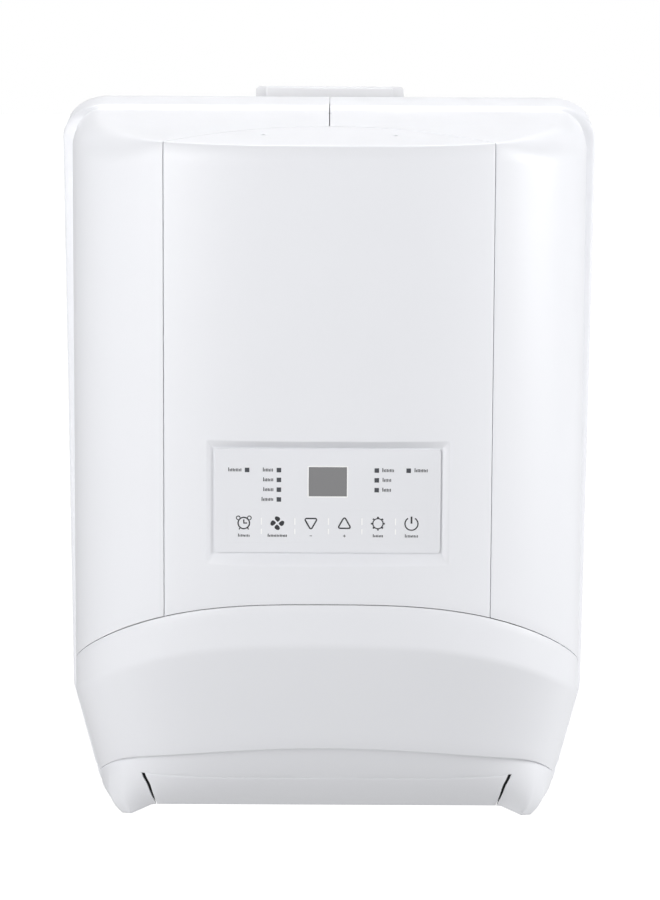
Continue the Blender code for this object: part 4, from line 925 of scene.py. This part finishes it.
def flap():
    """The outlet flap's fine face, with its two arms and their pins."""
    columns = []
    for k in range(-30, 31):
        angle = lip_angle(FLAP_LIP_X * abs(k) / 30)
        start = solve(lambda part: face_point(angle, part).z - FLAP_TOP_Z, 0.0, 1.0)
        column = []
        for i in range(17):
            part = mix(start, 1.0, i / 16)
            z = face_point(angle, part).z
            half = opening_x(z) - slot_width(z)
            x, y, z = face_at(max(0.00001, half * abs(k) / 30), part)
            column.append(Vector((math.copysign(x, k), y, z)))
        columns.append(column)
    obj = shell("louver_face", list(zip(*columns)), True)
    rounded(obj, 0.00025, 2)
    dress(obj, FINISHES["white_shell"], "louver")
    edge = [Vector((0, y, z)) for _, y, z in columns[0]]
    high, low = edge[8] + ARM_INWARD, edge[15] + ARM_INWARD
    pivot_y, pivot_z = LOUVER_PIVOT
    outline = [(high.y, high.z), (low.y, low.z)] + [(pivot_y + y, pivot_z + z) for y, z in ARM_EAR]
    arms = bmesh.new()
    for side in (-1, 1):
        bridged(arms, *([(side * x, y, z) for y, z in outline] for x in ARM_XS))
        rod(arms, (side * PIN_X, pivot_y, pivot_z), "Y", PIN_RADIUS, PIN_LENGTH)
    bmesh.ops.recalc_face_normals(arms, faces=arms.faces)
    arms = rounded(mesh_object("louver_arms", arms), 0.0003, 2)
    dress(arms, FINISHES["white_shell"], "louver")
    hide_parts("louver_flap")


# ---------------- control panel
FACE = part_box("control_overlay")[0].y  # front of the label film
INK_DEPTH = 0.00006
INK_MERGE = 0.0000005
TICK_PITCH = 0.00098
TICK_WIDTH = 0.00054
TICK_FIRST = 1.35  # heights are parts of the row's height
TICK_HEIGHTS = (1.0, 0.86, 1.0)
LAMP_TICK_HEIGHT = 0.0019
LAMP_TICK_GAP = 0.0036  # from a lamp's middle to its ticks
LAMP_HOLE = 0.00150  # half width
KEY_TICK_HEIGHT = 0.0015
FILM_CORNER = 0.002
FILM_EDGE = 0.00022
HOLE_OVERSHOOT = 0.001  # how far the cutters stand out of the film
WINDOW_CLEARANCE = 0.0001
WINDOW_FRAME = 0.0007  # width of the pale line round the display, and its distance
WINDOW_FRAME_GAP = 0.00015
KEY_TILE_DEPTH = 0.0006
STEM_RADIUS = 0.0025
STEM_LENGTH = 0.0057
STEM_MIDDLE = 0.0034  # behind the key's face
DIVIDER_X = 0.0005
DIVIDER_DASHES = ((0.0044, 0.0033), (0.0034, -0.0033))  # (height, middle) of each dash


def ring(radius, count):
    """Outline of a circle."""
    turns = [2 * math.pi * i / count for i in range(count)]
    return [(radius * math.cos(turn), radius * math.sin(turn)) for turn in turns]


def bar(across, up, angle=0.0, place=(0.0, 0.0)):
    """Outline of a thin bar about a place, turned by angle."""
    c, s = math.cos(angle), math.sin(angle)
    x, z = across / 2, up / 2
    corners = ((-x, -z), (x, -z), (x, z), (-x, z))
    return [(place[0] + x * c - z * s, place[1] + x * s + z * c) for x, z in corners]


def band(outer, inner):
    """Flat quads between two outlines of the same count."""
    quads = []
    for i in range(len(outer)):
        j = (i + 1) % len(outer)
        quads.append([outer[i], outer[j], inner[j], inner[i]])
    return quads


def arc_stroke(radius, width, start, end, centre=(0.0, 0.0), count=28):
    """Quads along a stroke of a circle, between two angles in degrees."""
    quads = []
    turns = [math.radians(mix(start, end, i / count)) for i in range(count + 1)]
    for one, two in zip(turns, turns[1:]):
        quad = []
        for turn, reach in ((one, 0.5), (two, 0.5), (two, -0.5), (one, -0.5)):
            out = radius + reach * width
            quad.append((centre[0] + out * math.cos(turn), centre[1] + out * math.sin(turn)))
        quads.append(quad)
    return quads


def clock_marks():
    marks = arc_stroke(0.0037, 0.00085, 0, 360)
    marks += [bar(0.0008, 0.0027, 0, (0, 0.0010)), bar(0.0024, 0.0008, 0, (0.0009, 0))]
    for side, start in ((-1, 0), (1, -90)):
        marks += arc_stroke(0.0012, 0.0006, start, start + 270, (side * 0.0036, 0.0034), 16)
        marks.append(bar(0.0007, 0.0014, side * 0.6, (side * 0.0027, -0.0036)))
    return marks


def fan_marks():
    """Four curved blades round the middle: right, up, left and down."""
    marks = []
    for k in range(4):
        turn = math.pi / 2 * k
        rim = []
        for i in range(15):
            part = i / 14
            rim.append((0.0009 + 0.0036 * part, 0.0020 * math.sin(math.pi * part**1.3) ** 0.55))
        blade = [(reach, 0.22 * (reach - 0.002) + 0.7 * wide) for reach, wide in rim]
        blade += [(reach, 0.22 * (reach - 0.002) - wide) for reach, wide in rim[-2:0:-1]]
        c, s = math.cos(turn), math.sin(turn)
        marks.append([(r * c - w * s, r * s + w * c) for r, w in blade])
    return marks


def triangle_marks(side):
    """A triangle's outline with rounded corners, pointing up or down."""
    corners = [(0.0, 0.0031), (-0.0033, -0.0027), (0.0033, -0.0027)]
    inwards = 0.84
    outlines = []
    for radius in (0.00135, 0.00045):
        outline = []
        for k, (x, z) in enumerate(corners):
            for i in range(7):
                turn = math.radians(30 + 120 * k + 20 * i)
                x_out, z_out = radius * math.cos(turn), radius * math.sin(turn)
                outline.append((x * inwards + x_out, side * (z * inwards + z_out)))
        outlines.append(outline)
    return band(*outlines)


def sun_marks():
    marks = arc_stroke(0.0033, 0.0007, 0, 360)
    for k in range(8):
        turn = math.pi / 4 * k
        place = (0.0040 * math.cos(turn), 0.0040 * math.sin(turn))
        marks.append(bar(0.0010, 0.0011, turn, place))
    return marks


def power_marks():
    return arc_stroke(0.0042, 0.00080, 122, 418) + [bar(0.0011, 0.0046, 0, (0, 0.0024))]


KEY_MARKS = {
    "timer": clock_marks,
    "fan_speed": fan_marks,
    "down": lambda: triangle_marks(-1),
    "up": lambda: triangle_marks(1),
    "mode": sun_marks,
    "power": power_marks,
}
MINUS = [bar(0.0016, 0.0004)]
PLUS = [bar(0.0018, 0.0004), bar(0.0004, 0.0018)]
CAPTIONS = {"timer": 0.0076, "fan_speed": 0.0128, "mode": 0.0072, "power": 0.0084}
MARK_RISE = 0.0021  # of a pictogram above its key's middle
CAPTION_RISE = -0.0061


def printed(name, outlines, place, look, body="housing", face=FACE):
    """Printed marks that stand a hair proud of the film or of a key's face."""
    shape = bmesh.new()
    front = face - INK_DEPTH
    for outline in outlines:
        prism(shape, outline, front, front + 2 * INK_DEPTH, place)
    bmesh.ops.remove_doubles(shape, verts=shape.verts, dist=INK_MERGE)
    bmesh.ops.recalc_face_normals(shape, faces=shape.faces)
    dress(mesh_object(name, shape), look, body)


def caption_bars(width, tall):
    """A short row of upright ticks in place of a word, its first one taller."""
    bars = []
    count = max(2, round(width / TICK_PITCH))
    for k in range(count):
        height = tall * (TICK_FIRST if k == 0 else TICK_HEIGHTS[k % 3])
        middle = (TICK_PITCH * (k - (count - 1) / 2), (height - tall) / 2)
        bars.append(bar(TICK_WIDTH, height, 0, middle))
    return bars


def label_film():
    """The flat film, cut out for the keys, the display and the lamps, and the display's pale frame."""
    low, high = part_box("control_overlay")
    middle_z = (low.z + high.z) / 2
    half_x, half_z = (high.x - low.x) / 2, (high.z - low.z) / 2
    outline = []
    for k, (side, end) in enumerate(((1, 1), (-1, 1), (-1, -1), (1, -1))):
        for i in range(7):
            turn = math.radians(90 * k + 15 * i)
            x = side * (half_x - FILM_CORNER) + FILM_CORNER * math.cos(turn)
            outline.append((x, end * (half_z - FILM_CORNER) + FILM_CORNER * math.sin(turn)))
    shape = bmesh.new()
    prism(shape, outline, low.y, high.y, (0, middle_z))
    bmesh.ops.recalc_face_normals(shape, faces=shape.faces)
    film = rounded(mesh_object("label_film", shape), FILM_EDGE, 3, 80)
    holes = bmesh.new()
    front, back = low.y - HOLE_OVERSHOOT, high.y + HOLE_OVERSHOOT
    key_low, key_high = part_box("key_timer")
    key_middle = (key_low.z + key_high.z) / 2
    edge = KEYS_WIDTH / 2 + KEY_CLEARANCE
    tall = KEY_TILE_HEIGHT / 2 + KEY_CLEARANCE
    solid_box(holes, (-edge, front, key_middle - tall), (edge, back, key_middle + tall))
    window_low, window_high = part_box("display_window")
    solid_box(
        holes,
        (window_low.x - WINDOW_CLEARANCE, front, window_low.z - WINDOW_CLEARANCE),
        (window_high.x + WINDOW_CLEARANCE, back, window_high.z + WINDOW_CLEARANCE),
    )
    for x, z, _, _ in LAMPS:
        solid_box(holes, (x - LAMP_HOLE, front, z - LAMP_HOLE), (x + LAMP_HOLE, back, z + LAMP_HOLE))
    cut(film, mesh_object("label_film_holes", holes))
    dress(film, FINISHES["control_face"])
    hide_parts("control_overlay")
    across, up = window_high.x, (window_high.z - window_low.z) / 2
    out = WINDOW_FRAME_GAP + WINDOW_FRAME / 2
    frame_bars = []
    for side in (-1, 1):
        frame_bars.append(bar(WINDOW_FRAME, 2 * (up + WINDOW_FRAME), 0, (side * (across + out), 0)))
        frame_bars.append(bar(2 * across, WINDOW_FRAME, 0, (0, side * (up + out))))
    printed("display_frame", frame_bars, (0, (window_low.z + window_high.z) / 2), PALE_INK)


def key_tiles():
    """Each key's face, its pictogram and the ticks under it."""
    width = KEYS_WIDTH / len(KEYS)
    for k, name in enumerate(KEYS):
        low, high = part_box(f"key_{name}")
        x, z = width * (k - (len(KEYS) - 1) / 2), (low.z + high.z) / 2
        left, right = x - width / 2, x + width / 2
        shape = bmesh.new()
        solid_box(
            shape,
            (left + KEY_CLEARANCE / 2, low.y, z - KEY_TILE_HEIGHT / 2),
            (right - KEY_CLEARANCE / 2, low.y + KEY_TILE_DEPTH, z + KEY_TILE_HEIGHT / 2),
        )
        rod(shape, (x, low.y + STEM_MIDDLE, z), "X", STEM_RADIUS, STEM_LENGTH)
        tile = mesh_object(f"key_face_{name}", shape)
        body = f"key_{name}_body"
        dress(tile, FINISHES["control_face"], body)
        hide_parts(f"key_{name}")
        printed(f"pictogram_{name}", KEY_MARKS[name](), (x, z + MARK_RISE), INK, body, face=low.y)
        if name in CAPTIONS:
            marks = caption_bars(CAPTIONS[name], KEY_TICK_HEIGHT)
        else:
            marks = PLUS if name == "up" else MINUS
        printed(f"caption_{name}", marks, (x, z + CAPTION_RISE), INK, body, face=low.y)
        if k:
            dashes = [bar(0.0007, height, 0, (DIVIDER_X, middle)) for height, middle in DIVIDER_DASHES]
            printed(f"divider_{name}", dashes, (left, z), PALE_INK, body, face=low.y)


def lamp_labels():
    """Ticks beside the lamps, to their left in the left group and to their right in the right one."""
    for number, (x, z, side, width) in enumerate(LAMPS, 1):
        middle = x + side * (LAMP_TICK_GAP + width / 2)
        printed(f"lamp_ticks_{number}", caption_bars(width, LAMP_TICK_HEIGHT), (middle, z), INK)


# ---------------- small fittings
HEAD_PROFILE = ((0.0, 0.62), (0.45, 0.60), (0.80, 0.45), (1.0, 0.12), (1.0, 0.0), (0.0, 0.0))
HEAD_SEGMENTS = 28
CROSS_TURN = 0.4  # of the cross recess, in radians
CROSS_REACH = 0.55  # its sizes are parts of the head's radius
CROSS_HALF_WIDTH = 0.09
CROSS_FLOOR = 0.25
CROSS_TOP = 1.2
BACK_SCREWS = ((-0.155, 0.205), (0.155, 0.205), (-0.160, -0.150), (0.160, -0.150))
BACK_SCREW_RADIUS = 0.0034
BACK_SCREW_GAP = 0.00002
WALL_SCREWS = ((-0.085, 0.125), (0.085, 0.125), (-0.085, -0.120), (0.085, -0.120))
WALL_SCREW_RADIUS = 0.0046
PLATE_FRONT_Y = -0.0030  # front of the bracket's sheet
STRIP_YS = (-0.0042, -0.0031)  # front and back of the strip and the ribs on it
STRIP_HALF_WIDTH = 0.044
STRIP_ZS = (0.012, 0.0010)  # below the bracket's upper edge
RIB_XS = (-0.030, 0.0, 0.030)
RIB_HALF_WIDTH = 0.003
RIB_ZS = (0.150, 0.216)


def screw_head(name, place, radius, facing=1):
    """A pan head with a cross recess, facing +Y or -Y."""
    shape = bmesh.new()
    rings = []
    for reach, height in HEAD_PROFILE:
        around = ring(reach * radius, HEAD_SEGMENTS) if reach else [(0, 0)]
        rings.append([shape.verts.new((x, height * radius, z)) for x, z in around])
    for one, two in zip(rings, rings[1:]):
        for i in range(HEAD_SEGMENTS):
            j = (i + 1) % HEAD_SEGMENTS
            if len(one) == 1:
                shape.faces.new([one[0], two[i], two[j]])
            elif len(two) == 1:
                shape.faces.new([one[i], two[0], one[j]])
            else:
                shape.faces.new([one[i], two[i], two[j], one[j]])
    bmesh.ops.recalc_face_normals(shape, faces=shape.faces)
    obj = mesh_object(name, shape)
    flip = Matrix.Identity(4) if facing > 0 else Matrix.Rotation(math.pi, 4, "Z")
    where = Matrix.Translation(place) @ flip
    obj.matrix_world = where
    for number, turn in enumerate((CROSS_TURN, CROSS_TURN + math.pi / 2), 1):
        cross = bmesh.new()
        solid_box(
            cross,
            (-radius * CROSS_REACH, radius * CROSS_FLOOR, -radius * CROSS_HALF_WIDTH),
            (radius * CROSS_REACH, radius * CROSS_TOP, radius * CROSS_HALF_WIDTH),
            Matrix.Rotation(turn, 4, "Y"),
        )
        cutter = mesh_object(f"{name}_cross_{number}", cross)
        cutter.matrix_world = where
        cut(obj, cutter)
    dress(obj, FINISHES["zinc_steel"], angle=35)


def screws():
    """Four in the back panel, and four that hold the bracket to the wall."""
    back_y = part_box("back_panel")[1].y + BACK_SCREW_GAP
    for number, (x, z) in enumerate(BACK_SCREWS, 1):
        screw_head(f"back_screw_{number}", (x, back_y, z), BACK_SCREW_RADIUS)
    for number, (x, z) in enumerate(WALL_SCREWS, 1):
        screw_head(f"wall_screw_{number}", (x, PLATE_FRONT_Y, z), WALL_SCREW_RADIUS, facing=-1)


def bracket_lip():
    """The folded top of the bracket's neck, and the ribs pressed into it."""
    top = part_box("wall_bracket")[1].z
    front, back = STRIP_YS
    strip = bmesh.new()
    solid_box(
        strip, (-STRIP_HALF_WIDTH, front, top - STRIP_ZS[0]), (STRIP_HALF_WIDTH, back, top - STRIP_ZS[1])
    )
    obj = rounded(mesh_object("bracket_strip", strip), 0.0004, 2)
    dress(obj, FINISHES["white_paint"])
    ribs = bmesh.new()
    for x in RIB_XS:
        solid_box(ribs, (x - RIB_HALF_WIDTH, front, RIB_ZS[0]), (x + RIB_HALF_WIDTH, back, RIB_ZS[1]))
    obj = rounded(mesh_object("bracket_ribs", ribs), 0.0009, 3)
    dress(obj, FINISHES["white_paint"])


side_shells()
front_cover()
hood()
flap()
slot_shade_strips()
label_film()
key_tiles()
lamp_labels()
screws()
bracket_lip()


# ---------------- floor, light and camera
FLOOR_SIZE = 40.0
FLOOR_Z = -2.2  # low enough to leave views from below free
LIGHT_REACH = 2.4
LIGHT_TARGET = Vector((0, -0.13, 0))
BOX_SIZE = 1.4
SKY_BELOW = 0.76  # strength of the sky straight down, and straight up
SKY_ABOVE = 0.0
LIGHTS = (  # name, azimuth and rise in degrees, watts
    ("left_box", -42, 18, 42.7),
    ("far_left_box", -80, 15, 1.5),
    ("far_right_box", 80, 15, 50.0),
    ("high_back_box", 180, 60, 47.7),
)
CAMERA_RISE = math.radians(9)
CAMERA_DISTANCE = 2.3
CAMERA_TARGET = Vector((0.0013, -0.135, 0.0012))
CAMERA_LENS = 137.4  # with SENSOR_WIDTH, in millimetres
SENSOR_WIDTH = 36
CAMERA_ROLL = math.radians(0.28)


def pale_floor():
    """A wide floor, as white as the background. The object gets no light from it."""
    shape = bmesh.new()
    bmesh.ops.create_grid(shape, x_segments=1, y_segments=1, size=FLOOR_SIZE)
    bmesh.ops.translate(shape, vec=(0, 0, FLOOR_Z), verts=shape.verts)
    obj = mesh_object("floor", shape)
    n = Nodes("floor_look")
    n.colour(n.blend(n.noise(2, 2), (0.93, 0.93, 0.93), (0.95, 0.95, 0.95)))
    n.fixed("Emission Color", (1, 1, 1, 1))
    n.fixed("Emission Strength", 1.0)
    obj.data.materials.append(n.material)
    obj.visible_diffuse = False
    obj.visible_glossy = False
    obj.visible_shadow = False


def area(name, place, power):
    """A square lamp that faces the middle of the object."""
    data = bpy.data.lights.new(name, "AREA")
    data.shape = "SQUARE"
    data.size = BOX_SIZE
    data.energy = power
    obj = placed(name, data)
    obj.location = place
    obj.rotation_euler = (LIGHT_TARGET - place).to_track_quat("-Z", "Y").to_euler()


def place_round(azimuth, rise):
    """A place round the object: azimuth 0 is in front of it, and +90 is to the right of the picture."""
    azimuth, rise = math.radians(azimuth), math.radians(rise)
    flat = LIGHT_REACH * math.cos(rise)
    ahead = Vector((flat * math.sin(azimuth), -flat * math.cos(azimuth), LIGHT_REACH * math.sin(rise)))
    return LIGHT_TARGET + ahead


def world():
    """White to the camera; to the object, a soft sky whose light changes with height."""
    data = bpy.data.worlds.new("studio")
    bpy.context.scene.world = data
    data.use_nodes = True
    nodes, link = data.node_tree.nodes, data.node_tree.links.new
    sky, white = nodes["Background"], nodes.new("ShaderNodeBackground")
    for background in (sky, white):
        background.inputs["Color"].default_value = (1, 1, 1, 1)
    coords, split = nodes.new("ShaderNodeTexCoord"), nodes.new("ShaderNodeSeparateXYZ")
    link(coords.outputs["Generated"], split.inputs["Vector"])
    height = nodes.new("ShaderNodeMapRange")
    for key, value in (("From Min", -1), ("From Max", 1), ("To Min", SKY_BELOW), ("To Max", SKY_ABOVE)):
        height.inputs[key].default_value = value
    link(split.outputs["Z"], height.inputs["Value"])
    link(height.outputs["Result"], sky.inputs["Strength"])
    rays, choice = nodes.new("ShaderNodeLightPath"), nodes.new("ShaderNodeMixShader")
    link(rays.outputs["Is Camera Ray"], choice.inputs["Fac"])
    link(sky.outputs["Background"], choice.inputs[1])
    link(white.outputs["Background"], choice.inputs[2])
    link(choice.outputs["Shader"], nodes["World Output"].inputs["Surface"])


def light():
    world()
    for name, azimuth, rise, power in LIGHTS:
        area(name, place_round(azimuth, rise), power)


def camera():
    data = bpy.data.cameras.new("camera")
    data.lens = CAMERA_LENS
    data.sensor_width = SENSOR_WIDTH
    obj = placed("camera", data)
    back = Vector((0, -math.cos(CAMERA_RISE), math.sin(CAMERA_RISE)))
    place = CAMERA_TARGET + back * CAMERA_DISTANCE
    look = (-back).to_track_quat("-Z", "Y").to_matrix().to_4x4()
    obj.matrix_world = Matrix.Translation(place) @ look @ Matrix.Rotation(CAMERA_ROLL, 4, "Z")
    bpy.context.scene.camera = obj


pale_floor()
light()
camera()
bpy.context.scene.view_settings.view_transform = "Standard"
